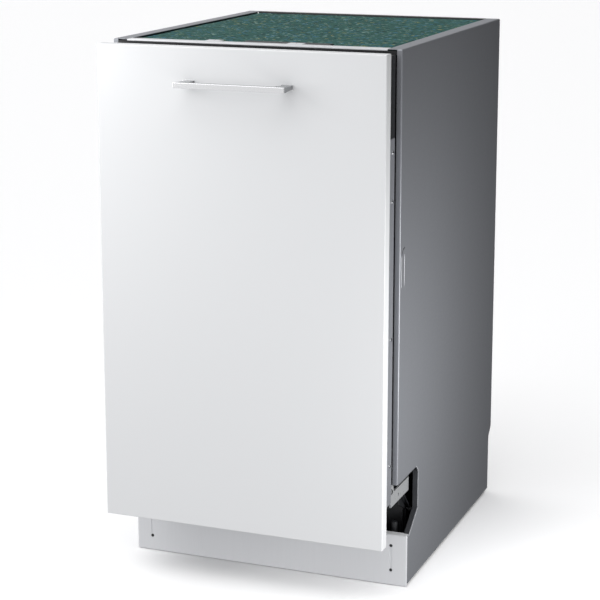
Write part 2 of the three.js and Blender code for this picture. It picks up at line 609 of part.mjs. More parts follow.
// A plate on the door's side that passes the pin, with a tongue curling inwards at its far end.
function hingeArm() {
  const plate = new THREE.Shape();
  plate.moveTo(-22, 330);
  plate.lineTo(-22, 153);
  plate.lineTo(-3.2, 153);
  plate.lineTo(0, 142);
  plate.lineTo(ARM_BACK + 1, 142);
  plate.lineTo(ARM_BACK + 1, 163);
  plate.lineTo(14, 163);
  plate.lineTo(11, 173);
  plate.lineTo(4, 177);
  plate.lineTo(-8, 177);
  plate.lineTo(-8, 330);
  plate.closePath();
  const tongue = new THREE.Shape();
  tongue.moveTo(ARM_X[1], ARM_BACK);
  tongue.absarc(ARM_X[1] - 11, ARM_BACK, 11, 0, Math.PI / 2);
  tongue.lineTo(ARM_X[1] - 11, ARM_BACK + 8.5);
  tongue.absarc(ARM_X[1] - 11, ARM_BACK, 8.5, Math.PI / 2, 0, true);
  tongue.closePath();
  return cut(
    join(extrudeX(plate, ARM_X), extrudeZ(tongue, [142, 163])),
    rod("x", [205, 220], [PIVOT_Y, PIVOT_Z], PIN_RADIUS + 1));
}
pair(door, "hinge_arm", hingeArm(), "zinc_steel");

piece(door, "furniture_panel",
  box([PANEL_LEFT, PANEL_RIGHT], [PANEL_FRONT, PANEL_BACK], [PANEL_Z0, PANEL_Z1]), "white_lacquer");

function barHandle() {
  const middle = (PANEL_LEFT + PANEL_RIGHT) / 2;
  const x0 = middle - HANDLE_LENGTH / 2;
  const x1 = middle + HANDLE_LENGTH / 2;
  const front = PANEL_FRONT - HANDLE_REACH;
  const low = HANDLE_Z - HANDLE_BAR / 2;
  const high = HANDLE_Z + HANDLE_BAR / 2;
  return cut(
    box([x0, x1], [front, PANEL_FRONT - GAP], [low, high]),
    box([x0 + HANDLE_POST, x1 - HANDLE_POST], [front + 10, PANEL_FRONT + 5], [low - 1, high + 1]));
}
piece(door, "bar_handle", barHandle(), "handle_metal");

// ---------------------------------------------------------------- origin at the footprint's middle

const FRONTMOST = PANEL_FRONT - HANDLE_REACH;
machine.position.set(-(PANEL_LEFT + HALF_WIDTH) / 2, -(FRONTMOST + DEPTH) / 2, 0);

export default root;
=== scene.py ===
import json
import math

import bmesh
import bpy
from mathutils import Matrix, Vector, noise


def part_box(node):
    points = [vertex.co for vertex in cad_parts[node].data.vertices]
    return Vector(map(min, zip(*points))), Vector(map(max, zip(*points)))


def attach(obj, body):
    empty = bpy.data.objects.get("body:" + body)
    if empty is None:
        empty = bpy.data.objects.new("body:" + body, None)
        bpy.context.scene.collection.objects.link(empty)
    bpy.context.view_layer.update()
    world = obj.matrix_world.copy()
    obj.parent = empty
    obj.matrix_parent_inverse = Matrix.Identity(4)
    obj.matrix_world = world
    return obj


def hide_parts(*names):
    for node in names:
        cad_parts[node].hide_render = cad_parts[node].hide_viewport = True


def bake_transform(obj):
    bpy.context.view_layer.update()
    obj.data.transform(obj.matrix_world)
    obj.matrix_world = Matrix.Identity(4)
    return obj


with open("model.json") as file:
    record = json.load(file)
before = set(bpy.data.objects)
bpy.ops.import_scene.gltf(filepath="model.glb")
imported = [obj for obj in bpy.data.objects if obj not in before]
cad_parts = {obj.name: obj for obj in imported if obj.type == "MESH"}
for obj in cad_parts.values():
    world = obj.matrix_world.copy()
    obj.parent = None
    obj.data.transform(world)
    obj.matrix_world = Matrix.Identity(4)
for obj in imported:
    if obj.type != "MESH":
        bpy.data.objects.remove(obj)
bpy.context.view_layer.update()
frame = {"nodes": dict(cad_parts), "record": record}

# Everything below is laid out in "cabinet millimetres": X = 0 is the cabinet's middle, Y = 0 the plane
# of its front flanges (Y grows towards the wall) and Z = 0 the floor.
MM = 0.001
HALF_WIDTH = 224.0
SIDE_LOW, SIDE_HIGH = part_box("side_panel_right")
ORIGIN = Vector((SIDE_HIGH.x - HALF_WIDTH * MM, SIDE_LOW.y, 0.0))
BODY_OF = {node: body for body, nodes in frame["record"]["behaviour"]["bodies"].items() for node in nodes}


def span(node):
    """A CAD node's lowest and highest corners in cabinet millimetres."""
    low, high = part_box(node)
    return (low - ORIGIN) / MM, (high - ORIGIN) / MM


def round_span(node):
    """The corners of an upright round node, its axis and its radius."""
    low, high = span(node)
    return low, high, (low.x + high.x) / 2, (low.y + high.y) / 2, (high.x - low.x) / 2


# ------------------------------------------------------------------ materials

def set_inputs(node, values):
    for key, value in values.items():
        node.inputs[key.replace("_", " ")].default_value = value


class Shader:
    """A principled material whose variation comes from noise in object space."""

    def __init__(self, name, color, roughness, metallic=0.0):
        self.material = bpy.data.materials.new(name)
        self.material.use_nodes = True
        self.nodes = self.material.node_tree.nodes
        self.links = self.material.node_tree.links
        self.surface = self.nodes["Principled BSDF"]
        self.surface.inputs["Base Color"].default_value = (*color, 1)
        self.surface.inputs["Roughness"].default_value = roughness
        self.surface.inputs["Metallic"].default_value = metallic
        self.coordinates = self.nodes.new("ShaderNodeTexCoord").outputs["Object"]

    def set(self, **values):
        set_inputs(self.surface, values)
        return self

    def node(self, kind, **values):
        node = self.nodes.new("ShaderNode" + kind)
        set_inputs(node, values)
        return node

    def texture(self, kind, stretch, output, **values):
        mapping, texture = self.node("Mapping", Scale=stretch), self.node(kind, **values)
        self.links.new(self.coordinates, mapping.inputs["Vector"])
        self.links.new(mapping.outputs["Vector"], texture.inputs["Vector"])
        return texture.outputs[output]

    def grain(self, scale, detail=3.0, stretch=(1, 1, 1)):
        return self.texture("TexNoise", stretch, "Fac", Scale=scale, Detail=detail)

    def cells(self, scale, stretch=(1, 1, 1), output="Color"):
        return self.texture("TexVoronoi", stretch, output, Scale=scale)

    def ramp(self, value, *stops):
        ramp = self.node("ValToRGB")
        ramp.color_ramp.elements[0].position, first = stops[0][0], stops[0][1]
        ramp.color_ramp.elements[0].color = (*first, 1)
        ramp.color_ramp.elements[1].position, last = stops[-1][0], stops[-1][1]
        ramp.color_ramp.elements[1].color = (*last, 1)
        for position, color in stops[1:-1]:
            ramp.color_ramp.elements.new(position).color = (*color, 1)
        self.links.new(value, ramp.inputs["Fac"])
        return ramp.outputs["Color"]

    def remap(self, value, low, high, start=0.3, end=0.7):
        node = self.node("MapRange", From_Min=start, From_Max=end, To_Min=low, To_Max=high)
        self.links.new(value, node.inputs["Value"])
        return node.outputs["Result"]

    def mixed(self, a, b, factor):
        node = self.node("Mix")
        node.data_type = "RGBA"
        self.links.new(factor, node.inputs["Factor"])
        for socket, value in ((node.inputs[6], a), (node.inputs[7], b)):
            if isinstance(value, tuple):
                socket.default_value = (*value, 1)
            else:
                self.links.new(value, socket)
        return node.outputs[2]

    def color(self, value):
        self.links.new(value, self.surface.inputs["Base Color"])
        return self

    def roughness(self, value):
        self.links.new(value, self.surface.inputs["Roughness"])
        return self

    def bump(self, height, strength, distance):
        node = self.node("Bump", Strength=strength, Distance=distance)
        self.links.new(height, node.inputs["Height"])
        previous = self.surface.inputs["Normal"].links
        if previous:
            self.links.new(previous[0].from_socket, node.inputs["Normal"])
        self.links.new(node.outputs["Normal"], self.surface.inputs["Normal"])
        return self


def white_lacquer():
    s = Shader("white_lacquer", (0.79, 0.80, 0.81), 0.34).set(Coat_Weight=0.25, Coat_Roughness=0.18)
    s.roughness(s.remap(s.grain(9, 2), 0.31, 0.39))
    s.bump(s.grain(900, 2), 0.05, 0.0002)
    return s.bump(s.grain(60, 1), 0.04, 0.0006).material


def coated_steel(name, color, roughness, streak, metallic=0.4):
    s = Shader(name, color, roughness, metallic)
    s.color(s.mixed(tuple(c * (1 - streak) for c in color), tuple(c * (1 + streak) for c in color),
                    s.grain(420, 3, (1, 1, 0.03))))
    s.roughness(s.remap(s.grain(300, 2), roughness - 0.03, roughness + 0.03))
    return s.bump(s.grain(2600, 1), 0.08, 0.0002).material


def brushed_stainless():
    s = Shader("brushed_stainless", (0.60, 0.61, 0.62), 0.27, 1.0)
    lines = s.grain(700, 2, (0.02, 1, 1))
    s.roughness(s.remap(lines, 0.20, 0.36))
    return s.bump(lines, 0.06, 0.0001).material


def zinc_plate():
    s = Shader("zinc_plate", (0.55, 0.56, 0.57), 0.3, 1.0)
    spangle = s.cells(210)
    s.color(s.ramp(spangle, (0.0, (0.44, 0.45, 0.47)), (1.0, (0.66, 0.67, 0.68))))
    s.roughness(s.remap(s.grain(160, 3), 0.22, 0.42))
    return s.bump(s.grain(800, 2), 0.05, 0.0001).material


def satin_handle(name, color):
    s = Shader(name, color, 0.24, 1.0)
    lines = s.grain(900, 2, (0.015, 1, 1))
    s.roughness(s.remap(lines, 0.16, 0.28))
    return s.bump(lines, 0.05, 0.0001).material


def moulded(name, color, roughness, grain, metallic=0.0):
    s = Shader(name, color, roughness, metallic)
    s.color(s.mixed(tuple(c * 0.9 for c in color), tuple(min(1, c * 1.08) for c in color), s.grain(35, 3)))
    s.roughness(s.remap(s.grain(200, 2), roughness - 0.05, roughness + 0.06))
    return s.bump(s.grain(1500, 2), grain, 0.0002).material


def recycled_felt():
    s = Shader("recycled_felt", (0.03, 0.07, 0.065), 0.95).set(Specular_IOR_Level=0.15)
    clouds = s.ramp(s.grain(70, 8), (0.30, (0.012, 0.048, 0.046)), (0.5, (0.034, 0.096, 0.086)),
                    (0.70, (0.060, 0.150, 0.118)))
    fibres = s.ramp(s.grain(520, 8, (0.3, 1, 1)),
                    (0.30, (0.010, 0.030, 0.030)), (0.72, (0.060, 0.160, 0.135)))
    base = s.mixed(clouds, fibres, s.remap(s.grain(130, 4), 0.3, 0.7))
    for scale, tint, limit in ((330, (0.34, 0.34, 0.10), 0.975), (300, (0.05, 0.17, 0.28), 0.93),
                               (380, (0.26, 0.38, 0.34), 0.955), (290, (0.006, 0.012, 0.014), 0.92)):
        fleck = s.cells(scale, (0.6, 1.0, 1.0))
        split = s.node("SeparateColor")
        s.links.new(fleck, split.inputs["Color"])
        base = s.mixed(base, tint, s.remap(split.outputs["Red"], 0.0, 0.8, limit, limit + 0.02))
    s.color(base)
    s.bump(s.grain(480, 8, (0.35, 1, 1)), 0.9, 0.0016)
    return s.bump(s.grain(60, 4), 0.6, 0.004).material


def perforated_steel():
    s = Shader("perforated_steel", (0.5, 0.51, 0.52), 0.34, 1.0)
    holes = s.cells(520, output="Distance")
    mask = s.remap(holes, 0.0, 1.0, 0.28, 0.36)
    s.color(s.mixed((0.015, 0.015, 0.017), (0.56, 0.57, 0.58), mask))
    return s.bump(mask, 0.5, 0.0003).material


MOULDED = {  # colour, roughness, grain
    "black_plastic": ((0.014, 0.015, 0.017), 0.42, 0.12),
    "gloss_black": ((0.006, 0.006, 0.008), 0.12, 0.02),
    "grey_plastic": ((0.26, 0.28, 0.30), 0.45, 0.12),
    "light_plastic": ((0.58, 0.60, 0.61), 0.42, 0.12),
    "blue_plastic": ((0.05, 0.16, 0.34), 0.4, 0.12),
    "rubber": ((0.035, 0.036, 0.038), 0.7, 0.25),
    "rack_coating": ((0.42, 0.44, 0.47), 0.32, 0.03),
}
FINISH = {
    "white_lacquer": white_lacquer(),
    "side_steel": coated_steel("side_steel", (0.28, 0.29, 0.313), 0.40, 0.025),
    # shaded_steel is a near-black copy of the side steel: painted shade for the hinge window's return
    # flange
    "shaded_steel": coated_steel("shaded_steel", (0.045, 0.047, 0.053), 0.5, 0.02),
    "plinth_steel": coated_steel("plinth_steel", (0.74, 0.75, 0.77), 0.36, 0.02, 0.25),
    "stainless": brushed_stainless(),
    "zinc_steel": zinc_plate(),
    "arm_steel": coated_steel("arm_steel", (0.46, 0.47, 0.48), 0.30, 0.03, 0.35),
    "spring_steel": zinc_plate(),
    "handle_metal": satin_handle("satin_handle", (0.84, 0.845, 0.855)),
    # handle_shade is a dimmer grey copy of the handle metal: painted shade and painted reflection of the
    # dim surroundings on the bar's top and rear and on the posts
    "handle_shade": satin_handle("satin_handle_painted_shade", (0.31, 0.315, 0.325)),
    **{name: moulded(name, *look) for name, look in MOULDED.items()},
    "felt": recycled_felt(),
    "mesh": perforated_steel(),
    "brass": moulded("brass_pins", (0.62, 0.45, 0.2), 0.3, 0.02, 1.0),
}


# ------------------------------------------------------------------ forms

class Form:
    """Collects closed parts in cabinet millimetres and turns them into one piece."""

    def __init__(self):
        self.verts = []
        self.faces = []
        self.marks = []

    def add(self, verts, faces, mark=0):
        base = len(self.verts)
        self.verts += [tuple(v) for v in verts]
        self.faces += [tuple(base + i for i in face) for face in faces]
        self.marks += [mark] * len(faces)
        return self

    def take(self, bm, mark=0):
        bm.verts.index_update()
        self.add([v.co for v in bm.verts], [[v.index for v in f.verts] for f in bm.faces], mark)
        bm.free()
        return self

    def slab(self, low, high, r=0.6, steps=2, mark=0, turn=None):
        bm = bmesh.new()
        bmesh.ops.create_cube(bm, size=1)
        size = Vector(high) - Vector(low)
        bmesh.ops.scale(bm, vec=size, verts=bm.verts)
        r = min(r, min(size) * 0.45)
        if r > 0:
            bmesh.ops.bevel(bm, geom=bm.edges[:], offset=r, segments=steps, profile=0.5, affect="EDGES")
        bmesh.ops.translate(bm, vec=(Vector(low) + Vector(high)) / 2, verts=bm.verts)
        if turn:
            bmesh.ops.transform(bm, matrix=turn, verts=bm.verts)
        return self.take(bm, mark)

    def prism(self, outline, axis, low, high, r=0.3, steps=2, mark=0):
        """Outline drawn in the two other axes, in X, Y, Z order."""
        bm = bmesh.new()
        index, count = "xyz".index(axis), len(outline)
        near, far = [[bm.verts.new((*point[:index], level, *point[index:])) for point in outline]
                     for level in (low, high)]
        bm.faces.new(near)
        bm.faces.new(far)
        for k in range(count):
            n = (k + 1) % count
            bm.faces.new((near[k], near[n], far[n], far[k]))
        bmesh.ops.recalc_face_normals(bm, faces=bm.faces)
        if r > 0:
            sharp = [e for e in bm.edges if e.calc_face_angle(0) > math.radians(25)]
            bmesh.ops.bevel(bm, geom=sharp, offset=r, segments=steps, profile=0.5, affect="EDGES",
                            clamp_overlap=True)
        return self.take(bm, mark)

    def lathe(self, profile, at, axis="z", sides=32, mark=0):
        """Profile of (radius, height) pairs that starts and ends on the axis or closes on itself."""
        verts, faces, rings = [], [], []
        for radius, height in profile:
            if radius < 1e-6:
                rings.append([len(verts)])
                verts.append(Vector((0, 0, height)))
            else:
                rings.append(list(range(len(verts), len(verts) + sides)))
                for k in range(sides):
                    t = 2 * math.pi * k / sides
                    verts.append(Vector((radius * math.cos(t), radius * math.sin(t), height)))
        pairs = list(zip(rings, rings[1:]))
        if len(rings[0]) > 1 and len(rings[-1]) > 1:
            pairs.append((rings[-1], rings[0]))
        for a, b in pairs:
            for k in range(sides):
                n = (k + 1) % sides
                quad = [a[k % len(a)], a[n % len(a)], b[n % len(b)], b[k % len(b)]]
                face = list(dict.fromkeys(quad))
                if len(face) > 2:
                    faces.append(face)
        turn = {"x": Matrix.Rotation(math.pi / 2, 4, "Y"), "y": Matrix.Rotation(-math.pi / 2, 4, "X"),
                "z": Matrix.Identity(4)}[axis]
        return self.add([Vector(at) + turn @ v for v in verts], faces, mark)

    def rod(self, start, length, radius, axis="z", chamfer=0.4, sides=24, mark=0):
        c = min(chamfer, length * 0.3, radius * 0.5)
        profile = [(0, 0), (radius - c, 0), (radius, c),
                   (radius, length - c), (radius - c, length), (0, length)]
        return self.lathe(profile, start, axis, sides, mark)

    def wire(self, points, radius, sides=8, bend=0.0, closed=False, mark=0, steps=4):
        path = rounded_path([Vector(p) for p in points], bend, closed, steps)
        count = len(path)
        verts, faces = [], []
        spans = count if closed else count - 1
        ahead = [(path[(i + 1) % count] - path[i]).normalized() for i in range(spans)]
        side = ahead[0].orthogonal().normalized()
        for i, p in enumerate(path):
            before = ahead[i - 1] if (i or closed) else ahead[0]
            after = ahead[i] if i < len(ahead) else ahead[-1]
            way = (before + after).normalized()
            side = (side - way * side.dot(way)).normalized()
            other = way.cross(side)
            for k in range(sides):
                t = 2 * math.pi * k / sides
                verts.append(p + (side * math.cos(t) + other * math.sin(t)) * radius)
        for i in range(spans):
            a, b = i * sides, (i + 1) % count * sides
            for k in range(sides):
                n = (k + 1) % sides
                faces.append((a + k, a + n, b + n, b + k))
        if not closed:
            faces.append(tuple(range(sides - 1, -1, -1)))
            faces.append(tuple(range((count - 1) * sides, count * sides)))
        return self.add(verts, faces, mark)

    def loft(self, rings, mark=0):
        """Closed rings of equal length, capped at both ends."""
        n = len(rings[0])
        verts = [v for ring in rings for v in ring]
        faces = [tuple(range(n - 1, -1, -1)), tuple(range((len(rings) - 1) * n, len(rings) * n))]
        for i in range(len(rings) - 1):
            for k in range(n):
                m = (k + 1) % n
                faces.append((i * n + k, i * n + m, (i + 1) * n + m, (i + 1) * n + k))
        return self.add(verts, faces, mark)

    def mirrored(self):
        twin = Form()
        twin.verts = [(-x, y, z) for x, y, z in self.verts]
        twin.faces = [tuple(reversed(f)) for f in self.faces]
        twin.marks = list(self.marks)
        return twin

    def piece(self, name, body, *finishes, replaces=(), smooth=35, slot=None):
        mesh = bpy.data.meshes.new(name)
        mesh.from_pydata([ORIGIN + Vector(v) * MM for v in self.verts], [], self.faces)
        for finish in finishes:
            mesh.materials.append(FINISH[finish])
        mesh.polygons.foreach_set("material_index", self.marks)
        turn_outwards(mesh)
        return settle(name, mesh, body, replaces, smooth)

    def stand_in(self, node, suffix, *finishes, **options):
        """The piece that stands for one CAD node and rides its body."""
        return self.piece(node + "_" + suffix, BODY_OF[node], *finishes, replaces=[node], **options)


def either_side(inner, outer):
    """The lowest and highest X of a part on the left and of its twin on the right."""
    return (-outer, -inner), (inner, outer)


def around(a, b, radius, degrees):
    """A point on a circle about (a, b)."""
    t = math.radians(degrees)
    return a + radius * math.cos(t), b + radius * math.sin(t)


def turn_outwards(mesh):
    bm = bmesh.new()
    bm.from_mesh(mesh)
    bmesh.ops.recalc_face_normals(bm, faces=bm.faces)
    bm.to_mesh(mesh)
    bm.free()


def even_shading(piece, smooth):
    piece.data.set_sharp_from_angle(angle=math.radians(smooth))
    piece.modifiers.new("even_normals", "WEIGHTED_NORMAL").keep_sharp = True


def settle(name, mesh, body, replaces=(), smooth=35):
    mesh.shade_smooth()
    piece = bpy.data.objects.new(name, mesh)
    bpy.context.collection.objects.link(piece)
    even_shading(piece, smooth)
    if body:
        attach(piece, body)
    if replaces:
        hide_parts(*replaces)
    return piece


def rounded_path(points, bend, closed, steps):
    if bend <= 0:
        return points
    path = []
    count = len(points)
    for i, p in enumerate(points):
        if not closed and i in (0, count - 1):
            path.append(p)
            continue
        before, after = points[i - 1], points[(i + 1) % count]
        a, b = (before - p), (after - p)
        r = min(bend, a.length * 0.45, b.length * 0.45)
        start, end = p + a.normalized() * r, p + b.normalized() * r
        for k in range(steps + 1):
            t = k / steps
            path.append(start * (1 - t) ** 2 + p * 2 * t * (1 - t) + end * t * t)
    return path


def refined(node, finish, width=0.3, segments=2, name=None, smooth=35):
    """The CAD node's own shape with its edges rounded, as a new piece that stands for it."""
    source = frame["nodes"][node]
    bm = bmesh.new()
    bm.from_mesh(source.data)
    bmesh.ops.remove_doubles(bm, verts=bm.verts, dist=1e-5)
    bmesh.ops.dissolve_limit(bm, angle_limit=math.radians(0.8), verts=bm.verts, edges=bm.edges)
    edges = [e for e in bm.edges if e.is_manifold and e.calc_face_angle(0) > math.radians(30)]
    bmesh.ops.bevel(bm, geom=edges, offset=width * MM, segments=segments, profile=0.5, affect="EDGES",
                    clamp_overlap=True)
    name = name or node + "_formed"
    mesh = bpy.data.meshes.new(name)
    bm.to_mesh(mesh)
    bm.free()
    mesh.materials.clear()
    mesh.materials.append(FINISH[finish])
    return settle(name, mesh, BODY_OF[node], (node,), smooth)


def carve(piece, cutter):
    """Cuts one form out of a piece for good."""
    mesh = bpy.data.meshes.new("cutter")
    mesh.from_pydata([ORIGIN + Vector(v) * MM for v in cutter.verts], [], cutter.faces)
    tool = bpy.data.objects.new("cutter", mesh)
    bpy.context.collection.objects.link(tool)
    turn_outwards(mesh)
    piece.modifiers.clear()
    cut = piece.modifiers.new("cut", "BOOLEAN")
    cut.object = tool
    cut.solver = "EXACT"
    bpy.context.view_layer.update()
    result = bpy.data.meshes.new_from_object(piece.evaluated_get(bpy.context.evaluated_depsgraph_get()))
    piece.modifiers.clear()
    piece.data = result
    even_shading(piece, 35)
    bpy.data.objects.remove(tool)


def screw_head(form, at, axis, out, radius=3.6, mark=0, recess_shade=1):
    """A pan-head screw whose head stands out along an axis; its cross recess is a thin black cross on the
    head, painted shade.
    """
    sign = 1 if out > 0 else -1
    profile = [(0, 0), (radius, 0), (radius, 0.5), (radius * 0.8, 1.3), (radius * 0.45, 1.6), (0, 1.62)]
    form.lathe([(r, h * sign) for r, h in profile], at, axis, 20, mark)
    # The cross recess is not cut: a thin black cross is painted shade in its place
    arm, wide = radius * 0.55, radius * 0.13
    index = "xyz".index(axis)
    for long_axis in [i for i in range(3) if i != index]:
        half = [wide, wide, wide]
        half[long_axis] = arm
        half[index] = 0.12
        centre = Vector(at)
        centre[index] += sign * 1.62
        form.slab(centre - Vector(half), centre + Vector(half), 0, mark=recess_shade)


def screws(name, body, axis, out, radius, places):
    form = Form()
    for at in places:
        screw_head(form, at, axis, out, radius)
    form.piece(name, body, "zinc_steel", "black_plastic")


def both(form, name, body, *finishes, replaces=(), **options):
    """A right-hand piece and its mirror image. Names in replaces gain their side."""
    return [shape.piece(name + "_" + side, body, *finishes,
                        replaces=[n + "_" + side for n in replaces], **options)
            for side, shape in (("right", form), ("left", form.mirrored()))]


def grid_piece(name, body, finish, xs, ys, height, thickness, replaces=(), hole=None, upright=False,
               smooth=50, offset=0):
    """A sheet on a grid whose height at (x, y) is a formula. Upright sheets run in X and Z."""
    form = Form()
    nx, ny = len(xs), len(ys)
    for y in ys:
        for x in xs:
            h = height(x, y)
            form.verts.append((x, h, y) if upright else (x, y, h))
    for j in range(ny - 1):
        for i in range(nx - 1):
            middle = ((xs[i] + xs[i + 1]) / 2, (ys[j] + ys[j + 1]) / 2)
            if hole and hole(*middle):
                continue
            a = j * nx + i
            form.faces.append((a, a + 1, a + nx + 1, a + nx))
            form.marks.append(0)
    piece = form.piece(name, body, finish, replaces=replaces, smooth=smooth)
    thick = piece.modifiers.new("thickness", "SOLIDIFY")
    thick.thickness = thickness * MM
    thick.offset = offset
    piece.modifiers.move(1, 0)
    return piece


def stops(low, high, step):
    count = max(1, round((high - low) / step))
    return [low + (high - low) * k / count for k in range(count + 1)]


# ------------------------------------------------------------------ door front

def furniture_panel():
    low, high = span("furniture_panel")
    Form().slab(low, high, 1.3, 4).stand_in("furniture_panel", "lacquered", "white_lacquer")


def bar_handle():
    low, high = span("bar_handle")
    post, bar, fillet = 18, 10, 9
    start = low.y + bar - 0.6
    grip = Form()
    # The front plate keeps the bright handle metal; the rear part of the bar (mark 1) takes the dimmer
    # handle_shade copy, painted shade on its top and end faces
    grip.slab(low, (high.x, low.y + 2.2, high.z), 0.8, 4)
    grip.slab((low.x, low.y + 1.1, low.z), (high.x, low.y + bar, high.z), 0.8, 4, mark=1)
    # The posts and their fillets (mark 1) take the dimmer handle_shade copy too: painted shade and painted
    # reflection
    for x0, inward, reach in ((low.x + 0.4, post - 0.5, fillet), (high.x - post - 0.4, 0.5, -fillet)):
        rings = []
        for y, inset in ((low.y + bar * 0.5, 0.3), (low.y + bar + 6, 0.3),
                         (high.y - 3, 1.0), (high.y - 0.4, 1.0)):
            a, b = x0 + inset, x0 + post - inset
            c, d = low.z + 0.3 + inset * 0.6, high.z - 0.3 - inset * 0.6
            rings.append(rounded_ring(a, b, c, d, 1.0, y))
        grip.loft(rings, 1)
        inner = x0 + inward
        curve = [(inner + reach * (1 - math.cos(t)), start + fillet * (1 - math.sin(t))) for t in
                 (math.pi / 2 * k / 8 for k in range(9))]
        grip.prism([(inner, start)] + curve[::-1], "z", low.z + 0.3, high.z - 0.3, 0.25, mark=1)
        x = x0 + post / 2
        grip.slab((x - post / 2 - 0.2, high.y - 0.9, low.z), (x + post / 2 + 0.2, high.y, high.z), 0.3)
    grip.stand_in("bar_handle", "satin", "handle_metal", "handle_shade")


def rounded_ring(x0, x1, z0, z1, r, y, steps=3):
    ring = []
    for cx, cz, start in ((x1 - r, z1 - r, 0), (x0 + r, z1 - r, 90),
                          (x0 + r, z0 + r, 180), (x1 - r, z0 + r, 270)):
        for k in range(steps + 1):
            x, z = around(cx, cz, r, start + 90 * k / steps)
            ring.append((x, y, z))
    return ring


# ------------------------------------------------------------------ door body

def door_body():
    refined("door_outer_panel", "side_steel", 0.5, 3)
    refined("control_panel", "black_plastic", 0.8, 3)
    low, high = span("door_outer_panel")
    edge = Form()
    for z in (low.z + 60, low.z + 250, high.z - 90, high.z - 20):
        screw_head(edge, (high.x, -14, z), "x", 1, 3.0)
    both(edge, "door_edge_screws", "door", "zinc_steel", "black_plastic")
    top = span("control_panel")[1].z
    lens = Form()
    lens.slab((40, -22, top - 0.4), (110, -10, top + 0.25), 0.2)
    lens.piece("indicator_window", "door", "gloss_black")
    lamps = Form()
    for k in range(5):
        lamps.slab((48 + 12 * k, -17, top + 0.1), (54 + 12 * k, -15, top + 0.45), 0.15)
    lamps.piece("indicator_lamps", "door", "light_plastic")
    for button in ("power_button", "program_button", "start_button"):
        refined(button, "grey_plastic", 0.6, 3)


def inner_liner():
    low, high = span("door_inner_liner")
    face = high.y
    pocket = {"x": 182, "z": (215, 664), "depth": 8}
    hole = {"x": (-72, 52), "z": (408, 502)}

    def dip(x, z):
        across = min(pocket["x"] - abs(x), z - pocket["z"][0], pocket["z"][1] - z)
        t = min(max(across / 14, 0), 1)
        y = face - 0.5 - pocket["depth"] * t * t * (3 - 2 * t)
        if abs(x) < 150:
            for centre in (300, 350, 590, 630):
                y += 2.6 * max(0, 1 - ((z - centre) / 7) ** 2) * min(1, (150 - abs(x)) / 10)
        rim = min(210.5 - abs(x), high.z - z)
        return y - 0.6 * max(0, 1 - rim / 3)

    xs = stops(low.x, high.x, 5)
    zs = stops(low.z, high.z, 5)
    xs = sorted(set(xs + [hole["x"][0], hole["x"][1]]))
    zs = sorted(set(zs + [hole["z"][0], hole["z"][1]]))
    inside = lambda x, z: hole["x"][0] < x < hole["x"][1] and hole["z"][0] < z < hole["z"][1]
    grid_piece("door_inner_liner_pressed", "door", "stainless", xs, zs, dip, 0.8,
               ["door_inner_liner"], inside, upright=True)
    top_row = [(x, face, high.z - 8) for x in (-197, -100, 0, 100, 197)]
    sides = [(x, face, z) for z in (260, 450, 620) for x in (-201, 201)]
    screws("inner_liner_screws", "door", "y", 1, 3.2, top_row + sides)


def dispenser():
    refined("dispenser_body", "grey_plastic", 0.6, 3)
    low, high = span("dispenser_lid")
    lid = Form()
    lid.slab(low, (high.x, low.y + 2.5, high.z), 0.9, 3)
    lid.slab((low.x + 9, low.y + 2.2, high.z - 11), (high.x - 9, high.y, high.z - 5), 0.7, 3)
    for k in range(6):
        x = low.x + 12 + k * 7.2
        lid.slab((x, low.y + 2.2, low.z + 8), (x + 1.4, low.y + 3.0, high.z - 16), 0.3)
    lid.rod((low.x + 2, low.y + 1.3, low.z + 1.2), high.x - low.x - 4, 1.2, "x", 0.2, 12)
    lid.stand_in("dispenser_lid", "moulded", "light_plastic")
    low, high = span("rinse_aid_cap")
    middle = (low + high) / 2
    radius = (high.x - low.x) / 2
    cap = Form()
    cap.lathe([(0, low.y), (radius - 0.5, low.y), (radius, low.y + 0.5), (radius, -6.6),
               (radius - 0.8, -5.9), (radius * 0.62, -5.9), (radius * 0.58, -6.6), (0, -6.6)],
              (middle.x, 0, middle.z), "y", 40)
    cap.slab((middle.x - radius * 0.7, -7, middle.z - 2.3),
             (middle.x + radius * 0.7, high.y, middle.z + 2.3), 0.8, 3)
    for k in range(24):
        x, z = around(middle.x, middle.z, radius - 0.3, 15 * k)
        cap.rod((x, low.y + 0.8, z), 3.0, 0.45, "y", 0.1, 6)
    cap.stand_in("rinse_aid_cap", "moulded", "blue_plastic", slot="grey_plastic")


# ------------------------------------------------------------------ cabinet sheet metal

